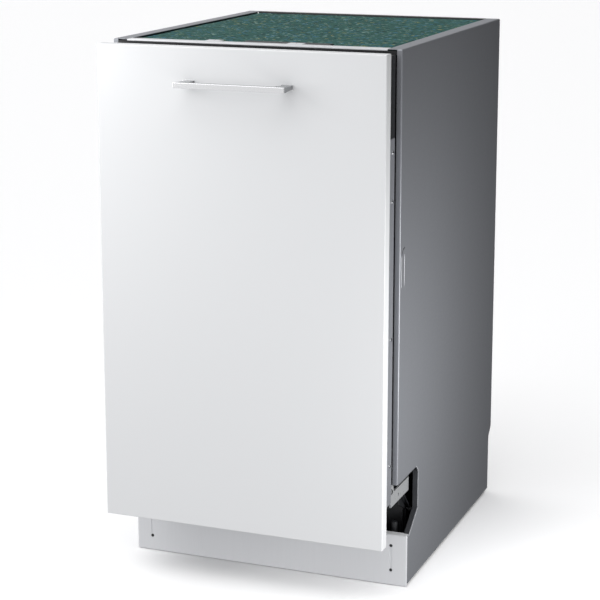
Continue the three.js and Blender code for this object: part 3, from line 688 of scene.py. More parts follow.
def side_panels():
    low, high = span("side_panel_right")
    depth, top, skirt = high.y, high.z, low.z
    fold, sheet = 2.2, 1.0
    notch = [(-10, -40), (51.3, -40), (51.3, 80), (58, 80), (101, 110), (101, 168), (91, 178), (-10, 178)]
    s_curve = [(depth - 16 * (1 - math.cos(math.pi * k / 10)) / 2, 120 - 27 * k / 10) for k in range(11)]
    step = [(540, -40), (540, 120)] + s_curve + [(depth - 16, -40)]
    tab = [(8, 473), (8, 522), (9.6, 526), (12.5, 529), (22, 531), (22, 529.7), (13.4, 527.6), (10.8, 525),
           (9.3, 521.4), (9.3, 473)]
    for side in ("right", "left"):
        form = Form().slab((150, 0, -30), (HALF_WIDTH, depth, top), fold, 5)
        cutters = [
            Form().slab((140, sheet, -60), (HALF_WIDTH - sheet, depth - sheet, top - sheet),
                        fold - sheet, 4),
            Form().slab((100, -10, -70), (300, 600, skirt), 0),
            Form().slab((100, -10, -60), (216, fold, 900), 0),
            Form().slab((100, -10, -60), (202, 600, 900), 0),
            Form().slab((100, depth - fold, -60), (209, 600, top - fold), 0),
            Form().prism(notch, "x", 100, 300, 0),
            Form().prism(step, "x", 100, 300, 0),
            Form().prism(tab, "x", 215, 230, 0),
        ]
        if side == "left":
            form = form.mirrored()
            cutters = [c.mirrored() for c in cutters]
        piece = form.piece("side_panel_folded_" + side, "cabinet", "side_steel",
                           replaces=["side_panel_" + side])
        for cutter in cutters:
            carve(piece, cutter)
    # The hinge window's return flange: its face in near-black shaded_steel is painted shade, and the thin
    # outer strip in light plinth_steel (mark 1) is a painted highlight on the rounded edge
    lip = Form()
    edge = [(58.4, 79.6), (101, 109.4), (101.4, 168.4), (91.4, 178.2)]
    for (y0, z0), (y1, z1) in zip(edge, edge[1:]):
        along = Vector((0, y1 - y0, z1 - z0)).normalized()
        across = Vector((0, along.z, -along.y))
        for thick, x0, x1, mark in ((0.9, 215.5, 223.2, 0), (0.7, 223.3, 224.1, 1)):
            corners = [(y0, z0), (y1, z1), (y1 + across.y * thick, z1 + across.z * thick),
                       (y0 + across.y * thick, z0 + across.z * thick)]
            lip.loft([[(x, y, z) for y, z in corners] for x in (x0, x1)], mark)
    both(lip, "hinge_window_lip", "cabinet", "shaded_steel", "plinth_steel")
    # A black sheet just inside the side panel behind the fixing tab's slit: painted shade inside the slit
    slit_shade_sheet = Form()
    slit_shade_sheet.slab((HALF_WIDTH - 3, 7.4, 473), (HALF_WIDTH - 1.2, 33, 532), 0.3)
    both(slit_shade_sheet, "fixing_tab_shade_sheet", "cabinet", "black_plastic")
    # A black wire along the slit's hook is a painted shadow; two thin light wires (mark 1) down the tab's
    # edges are painted highlights
    slit_shadow_and_highlight = Form()
    hook = ((8.8, 476), (8.8, 521), (11.5, 527.5), (21, 530.3))
    slit_shadow_and_highlight.wire([(HALF_WIDTH - 0.4, y, z) for y, z in hook], 0.65, 8, 3)
    for y in (7.6, 20.5):
        slit_shadow_and_highlight.wire([(HALF_WIDTH - 0.15, y, 474), (HALF_WIDTH - 0.15, y, 520)], 0.3, 6, mark=1)
    both(slit_shadow_and_highlight, "fixing_tab_painted_shadow_and_highlight", "cabinet", "black_plastic", "plinth_steel")
    pip = Form().rod((HALF_WIDTH - 0.2, 18, 522), 0.3, 0.9, "x", 0.1, 12)
    both(pip, "fixing_tab_pip", "cabinet", "black_plastic")


def rear_panel():
    low, high = span("rear_panel")

    def press(x, z):
        middle = (low.z + high.z) / 2
        edge = min(high.x - 26 - abs(x), z - low.z - 40, high.z - 40 - z)
        inside = min(max(edge / 8, 0), 1)
        depth = 3.2 * inside
        for slope in (1, -1):
            line = x * slope * (high.z - low.z - 160) / (2 * (high.x - 60)) - (z - middle)
            depth -= 2.4 * inside * max(0, 1 - (line / 14) ** 2)
        return low.y - depth

    grid_piece("rear_panel_pressed", "cabinet", "side_steel", stops(low.x, high.x, 4.5),
               stops(low.z, high.z, 4.5), press, 0.7, ["rear_panel"], upright=True)
    screws("rear_panel_screws", "cabinet", "y", 1, 2.6,
           [(x, high.y + 0.8, z) for z in (160, 330, 500, 670, 780) for x in (-216, 216)])


def top_rails():
    top = span("top_front_rail")[1].z
    rail, strip = Form(), Form()
    lip = 201.7
    rail.prism([(0.2, 812.6), (1, 812.6), (1.2, 813.6), (1.8, 814), (17, 814), (17, 812),
                (18, 812), (18, top), (1.4, top), (0.5, 814.7), (0.2, 814)],
               "x", -lip, lip, 0.12, 1)
    rail.stand_in("top_front_rail", "folded", "plinth_steel")
    # A black strip over the rail's front face, below its light top lip
    strip.slab((-215.6, 0, 807.3), (215.6, 0.95, 812.5), 0.3)
    strip.piece("top_front_rail_black_strip", "cabinet", "black_plastic", slot="rubber")
    clips = Form()
    for x in (-84, 44):
        clips.slab((x, 17, top - 0.9), (x + 23, 34, top + 0.2), 0.3)
        screw_head(clips, (x + 11.5, 27, top - 1.5), "z", 1, 3.0)
    clips.piece("worktop_brackets", "cabinet", "plinth_steel", "black_plastic")
    refined("top_rear_rail", "black_plastic", 0.8, 3)
    refined("door_lock_housing", "black_plastic", 0.8, 3)


def felt_mat():
    low, high = span("top_insulation_mat")
    lock_low, lock_high = span("door_lock_housing")
    hole = (lock_low.x - 1, lock_high.x + 1, -10, lock_high.y + 1)
    xs = sorted(set(stops(low.x, high.x, 4) + [hole[0], hole[1]]))
    ys = sorted(set(stops(low.y, high.y, 4) + [hole[3]]))

    def top(x, y):
        edge = min(x - low.x, high.x - x, y - low.y, high.y - y)
        near = max(hole[0] - x, x - hole[1], y - hole[3])
        edge = min(edge, max(near, 0))
        crown = 1 - math.exp(-edge / 2.2)
        lumps = noise.noise(Vector((x * 0.018, y * 0.018, 1)))
        lumps += noise.noise(Vector((x * 0.11, y * 0.11, 5))) * 0.55
        fuzz = noise.noise(Vector((x * 0.45, y * 0.45, 9))) * 0.35
        return high.z - 1.6 + 1.3 * crown + lumps * 0.5 + fuzz

    piece = grid_piece("top_felt_mat", "cabinet", "felt", xs, ys, top, 15.5, ["top_insulation_mat"],
                       lambda x, y: hole[0] < x < hole[1] and y < hole[3], smooth=60, offset=-1)


def plinth():
    """A folded steel kick plate with a top return, side bends and two lanced slots."""
    low, high = span("plinth_panel")
    fold, sheet = 2.0, 1.0
    skin = Form().slab((low.x, low.y, low.z - 20), (high.x, low.y + 40, high.z), fold, 4)
    piece = skin.stand_in("plinth_panel", "folded", "plinth_steel")
    carve(piece, Form().slab((low.x + sheet, low.y + sheet, -60),
                             (high.x - sheet, 300, high.z - sheet), 1, 3))
    carve(piece, Form().slab((-300, 0, -60), (300, 200, low.z), 0))
    carve(piece, Form().slab((-300, low.y + 12, -70), (300, 200, high.z + 9), 0))
    for x0, x1 in either_side(high.x - 1.6, high.x + 3):
        carve(piece, Form().slab((x0, low.y + 1.25, -60), (x1, 90, high.z + 20), 0))
    grooves, holes, dots = Form(), Form(), Form()
    for x in (-198.5, 198.5):
        grooves.slab((x - 1.7, low.y - 2, 24), (x + 1.7, low.y + 0.8, 63), 0.2)
        for z in (24, 63):
            holes.rod((x, low.y - 2, z), 2.85, 2.6, "y", 0.1, 16)
            dots.rod((x, low.y + 0.3, z), 0.5, 2.4, "y", 0.05, 16)
    carve(piece, grooves)
    carve(piece, holes)
    dots.piece("plinth_slot_ends", "cabinet", "black_plastic")


# ------------------------------------------------------------------ hinges

def hinges():
    for side in ("right", "left"):
        refined("hinge_bracket_" + side, "black_plastic", 0.3, 2)
        refined("hinge_arm_" + side, "arm_steel", 0.35, 3)
        refined("spring_cup_" + side, "zinc_steel", 0.4, 2)
    rivets = Form()
    rivets.lathe([(0, 214.0), (3.9, 214.0), (3.7, 214.9), (2.0, 215.7), (0, 215.8)], (0, 2, 166), "x", 24)
    rivets.lathe([(0, 214.0), (2.2, 214.0), (2.0, 214.5), (0, 214.7)], (0, 34, 152), "x", 16)
    both(rivets, "hinge_arm_rivets", "door", "zinc_steel")
    x, z = 208, 100
    spring = Form()
    start, end, turns, coil = 168, 327, 38, 6.6
    path = [(x, start - 6, z), (x, start - 2, z)]
    for k in range(turns * 12 + 1):
        across, up = around(x, z, coil, 30 * k)
        path.append((across, start + (end - start) * k / (turns * 12), up))
    spring.wire(path + [(x, end + 2, z), (x, end + 5, z)], 1.15, 6)
    both(spring, "door_spring_coil", "cabinet", "spring_steel", replaces=["door_spring"])
    pulley = Form()
    pulley.lathe([(0, 205.6), (4.6, 205.6), (4.8, 206.4), (3.6, 207.3),
                  (3.6, 208.7), (4.8, 209.6), (4.6, 210.4), (0, 210.4)], (0, 112.5, 102), "x", 24)
    pulley.rod((203, 112.5, 102), 14, 1.6, "x", 0.2, 12)
    both(pulley, "rope_pulley", "cabinet", "black_plastic")
    rope = Form()
    climb = [(x, 108 - 37 * t, 107.5 + 36.5 * t) for t in (0.1, 0.25, 0.4, 0.55, 0.7, 0.85, 1.0)]
    points = [(x, start - 4, z), (x, 109, 106.2)] + climb
    rope.wire(points, 1.2, 8)
    for piece in both(rope, "door_rope", None, "black_plastic"):
        side = 1 if piece.name.endswith("right") else -1
        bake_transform(piece)


# ------------------------------------------------------------------ tub

def sweep(form, path, section, mark=0):
    """Runs a closed section along a path in an upright X-Z plane; section is (outwards, y) pairs."""
    rings = []
    for i, (x, z) in enumerate(path):
        x0, z0 = path[max(i - 1, 0)]
        x1, z1 = path[min(i + 1, len(path) - 1)]
        along = Vector((x1 - x0, z1 - z0)).normalized()
        out = Vector((-along.y, along.x))
        rings.append([(x + out.x * u, y, z + out.y * u) for u, y in section])
    return form.loft(rings, mark)


def arch(half, top, bottom, radius, steps=10):
    """Up the left wall, over the roof and down the right wall."""
    points = [(-half, bottom + (top - radius - bottom) * k / 6) for k in range(7)]
    for cx, start in ((-half + radius, 180), (half - radius, 90)):
        for k in range(1 if start == 180 else 0, steps + 1):
            points.append(around(cx, top - radius, radius, start - 90 * k / steps))
    return points + [(half, top - radius + (bottom - top + radius) * k / 6) for k in range(1, 7)]


def tub():
    refined("tub_wrapper", "stainless", 0.3, 2)
    refined("tub_rear_wall", "stainless", 0.3, 2)
    refined("tub_floor", "stainless", 0.4, 2)
    low, high = span("tub_door_seal")
    middle = high.x - 3
    bulb = [(-2.9, 0.95), (-2.7, -0.3), (-1.9, -1.6), (-0.6, -2.35), (0.6, -2.35), (1.9, -1.5), (2.5, -0.5),
            (1.8, 0.1), (2.9, 0.4), (2.9, 0.95)]
    seal = sweep(Form(), arch(middle, high.z - 3, low.z + 0.2, 18), bulb)
    seal.stand_in("tub_door_seal", "bulb", "rubber", smooth=60)
    ribs = Form()
    for z in (395, 700):
        for side in (-1, 1):
            ribs.slab((side * 199.4 - 0.7, 40, z - 3), (side * 199.4 + 0.7, 450, z + 3), 0.6, 3)
    ribs.piece("tub_side_beads", "cabinet", "stainless", smooth=60)
    boss = Form()
    for z in (300, 420):
        boss.slab((-150, 488.9, z - 3), (150, 490.5, z + 3), 0.7, 3)
    boss.piece("tub_rear_beads", "cabinet", "stainless", smooth=60)
    for side in ("right", "left"):
        refined("upper_rack_rail_" + side, "stainless", 0.3, 2)


# ------------------------------------------------------------------ water parts

def water_parts():
    refined("sump_housing", "black_plastic", 0.8, 2)
    refined("circulation_pump", "grey_plastic", 1.2, 3)
    refined("drain_pump", "grey_plastic", 1.2, 3)
    refined("salt_reservoir", "light_plastic", 1.6, 3)
    refined("air_break_chamber", "light_plastic", 1.5, 3)
    refined("water_feed_pipe", "grey_plastic", 1.5, 3)
    refined("power_inlet", "black_plastic", 0.8, 3)
    filters()
    salt_cap()
    float_switch()
    inlet_valve()
    pins = Form()
    for x in (49, 55, 61):
        pins.slab((x - 1.9, 489, 58.5 if x == 55 else 55.5), (x + 1.9, 501, 60.5 if x == 55 else 57.5), 0.4)
    pins.piece("power_inlet_pins", "cabinet", "brass", slot="zinc_steel")


def filters():
    refined("fine_filter_plate", "mesh", 0.35, 2).data.materials[0] = FINISH["mesh"]
    rim = Form()
    low, high = span("fine_filter_plate")
    for x0, x1, y0, y1 in ((low.x, high.x, low.y, low.y + 5),
                           (low.x, high.x, high.y - 5, high.y),
                           (low.x, low.x + 5, low.y + 5, high.y - 5),
                           (high.x - 5, high.x, low.y + 5, high.y - 5)):
        rim.slab((x0, y0, high.z - 0.4), (x1, y1, high.z + 0.5), 0.3)
    rim.piece("fine_filter_rim", "cabinet", "stainless")
    low, high, x, y, radius = round_span("filter_cup")
    cup = Form()
    cup.lathe([(0, low.z), (radius - 3, low.z), (radius - 0.6, low.z + 2),
               (radius - 0.6, 186), (radius, 186.6),
               (radius, 187.6), (radius - 0.8, 188), (radius - 3.2, 188), (radius - 3.6, 187.2),
               (radius - 3.6, low.z + 4), (0, low.z + 4)], (x, y, 0), "z", 48)
    cup.stand_in("filter_cup", "sieve", "mesh", slot="grey_plastic")
    grip = Form()
    ring = [(radius, 186.8), (radius, 188.6), (radius - 1, 189.4), (radius - 6, 189.4), (radius - 7, 188.6),
            (radius - 7, 186.8)]
    grip.lathe(ring, (x, y, 0), "z", 48)
    grip.slab((x - 4, y - radius + 3, 187), (x + 4, y + radius - 3, high.z), 1.6, 3)
    for k in range(7):
        y0 = y - 15 + 5 * k
        grip.slab((x - 4.7, y0 - 0.8, 188), (x + 4.7, y0 + 0.8, high.z - 0.9), 0.5)
    grip.piece("filter_cup_handle", "filter_cup_body", "grey_plastic")


def salt_cap():
    low, high, x, y, radius = round_span("salt_cap")
    cap = Form()
    cap.lathe([(0, low.z), (radius - 0.4, low.z), (radius, low.z + 0.5), (radius, low.z + 2.9),
               (radius - 0.9, low.z + 3.7), (radius - 7, low.z + 3.7),
               (radius - 8, low.z + 2.9), (0, low.z + 2.9)], (x, y, 0), "z", 56)
    cap.slab((x - radius + 7, y - 4, low.z + 2), (x + radius - 7, y + 4, high.z), 1.5, 3)
    for k in range(36):
        cap.rod((*around(x, y, radius - 0.2, 10 * k), low.z + 0.5), 2.3, 0.7, "z", 0.2, 6)
    cap.prism([(x - 2.4, y - radius + 2), (x + 2.4, y - radius + 2), (x, y - radius + 6)], "z",
              low.z + 3.2, low.z + 4.3, 0.2)
    cap.stand_in("salt_cap", "moulded", "grey_plastic")


def float_switch():
    low, high, x, y, radius = round_span("float_switch")
    base = high.z - 12
    dome = Form()
    profile = [(0, low.z), (4, low.z), (4, base + 1), (radius - 0.6, base + 1), (radius, base + 1.6),
               (radius, base + 4), (radius - 1.2, base + 4.6), (radius - 1.6, base + 8)]
    profile += [((radius - 1.6) * math.cos(t) ** 0.7, base + 8 + 4 * math.sin(t)) for t in
                (math.radians(a) for a in (20, 40, 60, 80))]
    dome.lathe(profile + [(0, high.z)], (x, y, 0), "z", 40)
    dome.stand_in("float_switch", "dome", "light_plastic")


def inlet_valve():
    refined("water_inlet_valve", "light_plastic", 1.2, 3)
    thread = Form()
    high = span("water_inlet_valve")[1]
    x, z = -150, 60
    profile = []
    for k in range(6):
        y = high.y - 11.5 + 1.8 * k
        profile += [(12.7, y), (13.6, y + 0.9)]
    profile += [(12.7, high.y - 0.6), (11, high.y - 0.1), (8.5, high.y - 0.1),
                (8.2, high.y - 9), (12.0, high.y - 12)]
    thread.lathe(profile, (x, 0, z), "y", 40)
    thread.piece("water_inlet_thread", "cabinet", "light_plastic")
    sieve = Form().rod((x, high.y - 0.3, z), 0.42, 8.6, "y", 0.05, 32)
    sieve.piece("water_inlet_sieve", "cabinet", "mesh", slot="grey_plastic")


# ------------------------------------------------------------------ base

def base():
    refined("base_tray", "black_plastic", 0.9, 3)
    low = span("base_tray")[0]
    ribs = Form()
    for x in (-180, -100, -20, 95, 150, 185):
        ribs.slab((x - 1.2, 499.6, 96), (x + 1.2, 503, 166), 0.5)
    for z in (96, 131, 166):
        ribs.slab((-186, 499.6, z - 1.2), (186, 502.6, z + 1.2), 0.5)
    ribs.piece("base_tray_rear_ribs", "cabinet", "black_plastic")
    keel = Form()
    for x in stops(-180, 180, 60):
        keel.slab((x - 1.3, 70, low.z - 2.6), (x + 1.3, 486, low.z + 0.3), 0.5)
    for y in stops(110, 450, 68):
        keel.slab((-208, y - 1.3, low.z - 2.6), (208, y + 1.3, low.z + 0.3), 0.5)
    keel.piece("base_tray_underside_ribs", "cabinet", "black_plastic")
    spigot = Form()
    for y in (506, 510, 514):
        spigot.lathe([(10.3, y), (11.6, y + 0.3), (10.4, y + 3)], (120, 0, 55), "y", 32)
    spigot.piece("drain_spigot_barbs", "cabinet", "black_plastic")
    for foot in ("front_left_foot", "front_right_foot", "rear_foot"):
        levelling_foot(foot)


def levelling_foot(node):
    top, x, y = round_span(node)[1:4]
    foot = Form()
    foot.lathe([(0, 0), (15.6, 0), (17, 0.8), (17, 3.2), (15.8, 4.4), (12, 5.1), (0, 5.1)],
               (x, y, 0), "z", 40, 1)
    hexagon = [around(x, y, 11, 60 * k) for k in range(6)]
    foot.prism(hexagon, "z", 5, 7.5, 0.4)
    profile, neck = [(0, 7)], 44
    for k in range(23):
        z = 7.4 + 1.6 * k
        profile += [(4.4, z), (5.0, z + 0.8)]
    foot.lathe(profile + [(4.4, neck + 0.2), (0, neck + 0.2)], (x, y, 0), "z", 16)
    foot.lathe([(0, neck), (4.9, neck), (4.9, top.z - 0.6), (4.2, top.z), (0, top.z)],
               (x, y, 0), "z", 24, 2)
    foot.stand_in(node, "threaded", "zinc_steel", "grey_plastic", "black_plastic")


# ------------------------------------------------------------------ spray arms

def spray_arm(node, width):
    low, high, x, y, reach = round_span(node)
    base = low.z + 5
    arm = Form()
    rings = []
    for k in range(37):
        t = -1 + k / 18
        u = t * reach * 0.995
        fade = 1 - abs(t) ** 6 * 0.85
        upper = width * (0.36 + 0.62 * max(0, 1 - abs(u - 26) / (reach - 26)) ** 1.1)
        lower = width * (0.36 + 0.62 * max(0, 1 - abs(u + 26) / (reach - 26)) ** 1.1)
        ring = []
        for a in range(20):
            angle = 2 * math.pi * a / 20
            c, s = math.cos(angle), math.sin(angle)
            across = math.copysign(abs(c) ** 0.7, c)
            rise = math.copysign(abs(s) ** 0.8, s)
            sideways = across * (upper if c > 0 else lower) * fade
            ring.append((x + u, y + sideways, base + 4.5 + 4.4 * rise * fade))
        rings.append(ring)
    arm.loft(rings)
    arm.lathe([(0, low.z), (13, low.z), (14, low.z + 1), (14, base), (21, base + 1.5),
               (22, base + 3), (21, base + 9.6), (16, base + 12), (12, high.z - 1),
               (10.5, high.z), (0, high.z)], (x, y, 0), "z", 40)
    for k in range(12):
        t = 2 * math.pi * k / 12
        arm.slab((-1, 13, base + 9), (1, 20.5, base + 10.6), 0.5,
                 turn=Matrix.Translation((x, y, 0)) @ Matrix.Rotation(t, 4, "Z"))
    arm.stand_in(node, "moulded", "grey_plastic", smooth=45)
    # Each nozzle opening holds a black disc (mark 1): painted shade in the hole
    nozzles = Form()
    for side in (-1, 1):
        for k, place in enumerate((0.28, 0.44, 0.6, 0.76, 0.9)):
            at = (x + side * reach * place, y + side * (4 - 3 * (k % 2)), base + 8.2)
            nozzles.lathe([(1.4, 0.2), (3.4, 0), (3.4, 0.6), (2.4, 1.2), (1.5, 1.2)], at, "z", 20)
            nozzles.rod((at[0], at[1], at[2] + 0.35), 0.4, 1.5, "z", 0.1, 12, 1)
    nozzles.piece(node + "_nozzles", BODY_OF[node], "grey_plastic", "black_plastic")


# ------------------------------------------------------------------ racks

def ring_wire(form, half, front, back, z, radius):
    corners = [(-half, front, z), (half, front, z), (half, back, z), (-half, back, z)]
    form.wire(corners, radius, 8, 14, True, steps=5)


def wire_basket(form, half, front, back, floor, rim, pitch):
    """Crossed U-shaped wires under two or three closed rims."""
    for y in stops(front + 14, back - 14, pitch):
        form.wire([(-half, y, rim), (-half, y, floor), (half, y, floor), (half, y, rim)], 1.35, 6, 10)
    for x in stops(-half + 16, half - 16, pitch):
        form.wire([(x, front, rim), (x, front, floor + 2.6), (x, back, floor + 2.6), (x, back, rim)],
                  1.35, 6, 10)
    for z, radius in ((rim, 2.3), (rim - 45, 1.6), (floor + 34, 1.6)):
        ring_wire(form, half, front, back, z, radius)


def lower_rack():
    half, front, back, floor, rim = 185.5, 47.5, 467.5, 224.6, 342.7
    basket = Form()
    wire_basket(basket, half, front, back, floor, rim, 27)
    for x in (-120, -40, 40, 120):
        for y in stops(160, 430, 27):
            top = floor + 78
            basket.wire([(x, y, floor + 3), (x, y + 1, top - 10), (x, y + 6, top)], 1.3, 6, 8)
        basket.wire([(x - 0.2, 150, floor + 5.2), (x - 0.2, 440, floor + 5.2)], 1.3, 6)
    basket.stand_in("lower_rack", "wires", "rack_coating", smooth=60)
    legs = Form()
    high = span("lower_rack")[1]
    for side in (-1, 1):
        for y in (95, 400):
            x0, x1 = sorted((side * 184.6, side * 187.8))
            legs.prism([(y - 5, 197), (y + 5, 197), (y + 9, 204),
                        (y + 13, 246), (y - 13, 246), (y - 9, 204)], "x", x0, x1, 0.8)
            a, b = sorted((side * 187, side * high.x * 0.9985))
            legs.rod((a, y, 205), b - a, 3.5, "x", 0.6, 20)
            legs.rod((side * high.x - (0.7 if side > 0 else 0), y, 205), 0.7, 3.7, "x", 0.2, 20)
    legs.piece("lower_rack_wheel_brackets", "lower_rack_body", "grey_plastic")
    for end in ("front", "rear"):
        for side in ("left", "right"):
            rack_wheel("rack_wheel_" + end + "_" + side)


def rack_wheel(node):
    low, high = span(node)
    y, z = (low.y + high.y) / 2, (low.z + high.z) / 2
    radius = (high.z - low.z) / 2
    a, b = low.x, high.x
    wheel = Form()
    centre, middle = (0, y, z), (a + b) / 2
    wheel.lathe([(radius - 1, a), (radius, a + 1), (radius, a + 2.6), (radius - 0.5, a + 3.2),
                 (radius - 0.5, b - 3.2), (radius, b - 2.6), (radius, b - 1), (radius - 1, b),
                 (radius - 3.4, b), (radius - 4, b - 1), (radius - 4, a + 1), (radius - 3.4, a)],
                centre, "x", 48)
    wheel.lathe([(3.95, a), (6.6, a), (7.2, a + 0.6), (7.2, b - 0.6), (6.6, b), (3.95, b)], centre, "x", 32)
    wheel.lathe([(6.8, middle - 0.8), (radius - 3.6, middle - 0.8),
                 (radius - 3.6, middle + 0.8), (6.8, middle + 0.8)], centre, "x", 32)
    for k in range(6):
        turn = Matrix.Translation((0, y, z)) @ Matrix.Rotation(math.radians(60 * k), 4, "X")
        wheel.slab((a + 0.8, -1, 6.6), (b - 0.8, 1, radius - 3.5), 0.5, turn=turn)
    wheel.stand_in(node, "spoked", "grey_plastic")


def upper_rack():
    low, high = span("upper_rack")
    half, front, back, floor, rim = 183.5, low.y + 2.5, 457.5, 471.8, high.z - 2.4
    basket = Form()
    wire_basket(basket, half, front, back, floor, rim, 27)
    for x in (-95, 0, 95):
        for y in stops(70, 430, 24):
            basket.wire([(x, y, floor + 3), (x, y, floor + 40), (x, y + 5, floor + 46)], 1.3, 6, 6)
        basket.wire([(x - 0.2, 60, floor + 5.2), (x - 0.2, 440, floor + 5.2)], 1.3, 6)
    basket.stand_in("upper_rack", "wires", "rack_coating", smooth=60)
    runners = Form()
    for (a, b), (c, d) in zip(either_side(185.6, 190), either_side(189.5, 195.6)):
        runners.slab((a, low.y + 10, 581), (b, 455, 589), 0.8, 3)
        for y in (low.y + 24, 240, 430):
            runners.rod((c, y, 585), d - c, 4.8, "x", 0.7, 28)
    runners.piece("upper_rack_runners", "upper_rack_body", "grey_plastic")
    feed = Form()
    feed.slab((-8.6, 244, 460), (8.6, high.y, 469.4), 2.8, 4)
    feed.lathe([(0, 459.4), (11, 459.4), (13, 461), (13, 467), (11, 470), (0, 470.4)], (0, 240, 0), "z", 32)
    feed.piece("upper_arm_feed_tube", "upper_rack_body", "grey_plastic")
    pull = Form()
    pull.slab((-70, low.y + 0.3, rim - 9), (70, low.y + 5.5, rim + 2.3), 2.0, 4)
    pull.slab((-62, low.y + 1.0, rim - 5), (62, low.y + 6.2, rim - 3), 0.8, 3)
    pull.piece("upper_rack_pull", "upper_rack_body", "grey_plastic")


def cutlery_basket():
    low, high = span("cutlery_basket")
    x0, x1, y0, y1, z0, rim = low.x, high.x, low.y, high.y, low.z, 340
    slat, thick = 1.1, 1.7
    basket = Form()
    for z, tall in ((z0, 5), (rim - 6, 6)):
        for a, b in (((x0, y0), (x1, y0 + 2.4)), ((x0, y1 - 2.4), (x1, y1)), ((x0, y0), (x0 + 2.4, y1)),
                     ((x1 - 2.4, y0), (x1, y1))):
            basket.slab((*a, z), (*b, z + tall), 0.7, 3)
    for x in stops(x0 + 7, x1 - 7, 7):
        for y in (y0 + 0.3, y1 - 0.3 - thick):
            basket.slab((x - slat, y, z0 + 2), (x + slat, y + thick, rim - 2), 0.5)
        basket.slab((x - slat, y0 + 1, z0 + 0.2), (x + slat, y1 - 1, z0 + 1.9), 0.5)
    for y in stops(y0 + 7, y1 - 7, 7):
        for x in (x0 + 0.3, x1 - 0.3 - thick):
            basket.slab((x, y - slat, z0 + 2), (x + thick, y + slat, rim - 2), 0.5)
        basket.slab((x0 + 1, y - slat, z0 + 0.4), (x1 - 1, y + slat, z0 + 2.2), 0.5)
        basket.slab((-0.9, y - slat, z0 + 2), (0.9, y + slat, 350), 0.5)
    for z in stops(z0 + 22, rim - 22, 17):
        for y in (y0 + 0.1, y1 - 1.8):
            basket.slab((x0 + 0.2, y, z - slat), (x1 - 0.2, y + 1.7, z + slat), 0.5)
        for x in (x0 + 0.1, x1 - 1.8):
            basket.slab((x, y0 + 0.2, z - slat), (x + 1.7, y1 - 0.2, z + slat), 0.5)
    for z in (z0 + 40, z0 + 80, 350):
        basket.slab((-1.2, y0 + 0.5, z - 2), (1.2, y1 - 0.5, z + 2), 0.6)
    grip = [(0, 72, 345), (0, 72, high.z - 3.2), (0, 110, high.z - 3.2), (0, 110, 345)]
    basket.wire(grip, 3.0, 12, 9, steps=6)
    basket.stand_in("cutlery_basket", "lattice", "grey_plastic")


# ------------------------------------------------------------------ studio

def floor_and_backdrop():
    mesh = bpy.data.meshes.new("studio_floor")
    half = 60
    corners = [(-half, -half, 0), (half, -half, 0), (half, half, 0), (-half, half, 0)]
    mesh.from_pydata(corners, [], [(0, 1, 2, 3)])
    floor = bpy.data.objects.new("studio_floor", mesh)
    paint = Shader("studio_floor", (0.97, 0.97, 0.972), 0.75)
    mesh.materials.append(paint.material)
    bpy.context.collection.objects.link(floor)
    floor.visible_diffuse = False
    floor.visible_glossy = False


def surroundings():
    """A soft studio: bright at the front and left, dimmer to the right and behind, white to the eye."""
    world = bpy.data.worlds.new("studio")
    bpy.context.scene.world = world
    world.use_nodes = True
    nodes, links = world.node_tree.nodes, world.node_tree.links
    nodes.clear()
    where = nodes.new("ShaderNodeTexCoord")
    toward = nodes.new("ShaderNodeVectorMath")
    toward.operation = "DOT_PRODUCT"
    toward.inputs[1].default_value = Vector(DIM_SIDE).normalized()
    links.new(where.outputs["Generated"], toward.inputs[0])
    ramp = nodes.new("ShaderNodeValToRGB")
    shades = ramp.color_ramp
    shades.elements[0].position, shades.elements[1].position = 0.0, 1.0
    shades.elements[0].color = (*WORLD_BRIGHT, 1)
    shades.elements[1].color = (*WORLD_DIM, 1)
    for position, shade in WORLD_STEPS:
        shades.elements.new(position).color = (shade, shade, shade * 1.02, 1)
    scale = nodes.new("ShaderNodeMapRange")
    scale.inputs["From Min"].default_value = -1
    links.new(toward.outputs["Value"], scale.inputs["Value"])
    links.new(scale.outputs["Result"], ramp.inputs["Fac"])
    lit = nodes.new("ShaderNodeBackground")
    seen = nodes.new("ShaderNodeBackground")
    pick = nodes.new("ShaderNodeMixShader")
    seen.inputs["Color"].default_value = (1, 1, 1, 1)
    links.new(ramp.outputs["Color"], lit.inputs["Color"])
    links.new(nodes.new("ShaderNodeLightPath").outputs["Is Camera Ray"], pick.inputs[0])
    links.new(lit.outputs[0], pick.inputs[1])
    links.new(seen.outputs[0], pick.inputs[2])
    links.new(pick.outputs[0], nodes.new("ShaderNodeOutputWorld").inputs["Surface"])


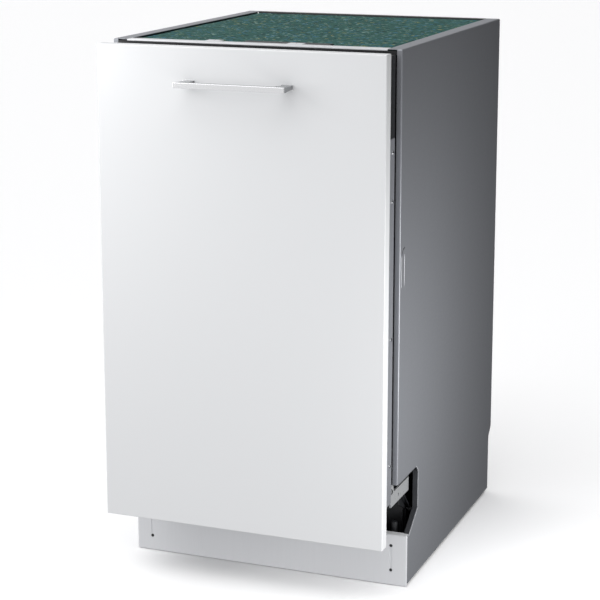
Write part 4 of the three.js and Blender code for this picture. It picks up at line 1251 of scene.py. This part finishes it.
DIM_SIDE = (0.86, 0.42, 0.28)
WORLD_BRIGHT = (0.83, 0.83, 0.835)
WORLD_DIM = (0.012, 0.012, 0.014)
WORLD_STEPS = ((0.45, 0.70), (0.66, 0.22), (0.82, 0.02))


def area_light(name, place, target, width, height, power):
    light = bpy.data.lights.new(name, "AREA")
    light.shape = "RECTANGLE"
    light.size, light.size_y = width, height
    light.energy = power
    aim(name, light, place, target)


def aim(name, light, place, target):
    holder = bpy.data.objects.new(name, light)
    holder.location = place
    holder.rotation_euler = (Vector(target) - Vector(place)).to_track_quat("-Z", "Y").to_euler()
    holder.visible_camera = False
    bpy.context.collection.objects.link(holder)


def lights():
    above = bpy.data.lights.new("overhead_glow", "SUN")
    above.energy, above.angle = 2.1, math.radians(80)
    aim("overhead_glow", above, (-0.25, -0.1, 3), (0, 0, 0))
    area_light("left_softbox", (-0.62, -0.72, 0.92), (-0.2, -0.27, 0.62), 0.45, 0.6, 3.1)
    area_light("side_softbox", (0.74, -0.29, 0.29), (0.22, -0.20, 0.27), 0.40, 0.40, 4.6)


def camera():
    """At the right of the front, a little above the top, with an upright shift."""
    data = bpy.data.cameras.new("camera")
    data.lens, data.sensor_width, data.shift_y = 108.6, 36.0, -0.1
    eye = ORIGIN + Vector((995.0, -2395.3, 1078.5)) * MM
    yaw, pitch = math.radians(21.09), math.radians(-11.99)
    holder = bpy.data.objects.new("camera", data)
    holder.location = eye
    holder.rotation_euler = (math.pi / 2 + pitch, 0, yaw)
    bpy.context.collection.objects.link(holder)
    bpy.context.scene.camera = holder
    bpy.context.scene.view_settings.view_transform = "Standard"


camera()
furniture_panel()
bar_handle()
door_body()
inner_liner()
dispenser()
refined("door_latch_hook", "zinc_steel", 0.5, 3)
side_panels()
rear_panel()
top_rails()
felt_mat()
plinth()
hinges()
tub()
water_parts()
base()
spray_arm("lower_spray_arm", 21)
spray_arm("upper_spray_arm", 19)
lower_rack()
upper_rack()
cutlery_basket()
floor_and_backdrop()
surroundings()
lights()
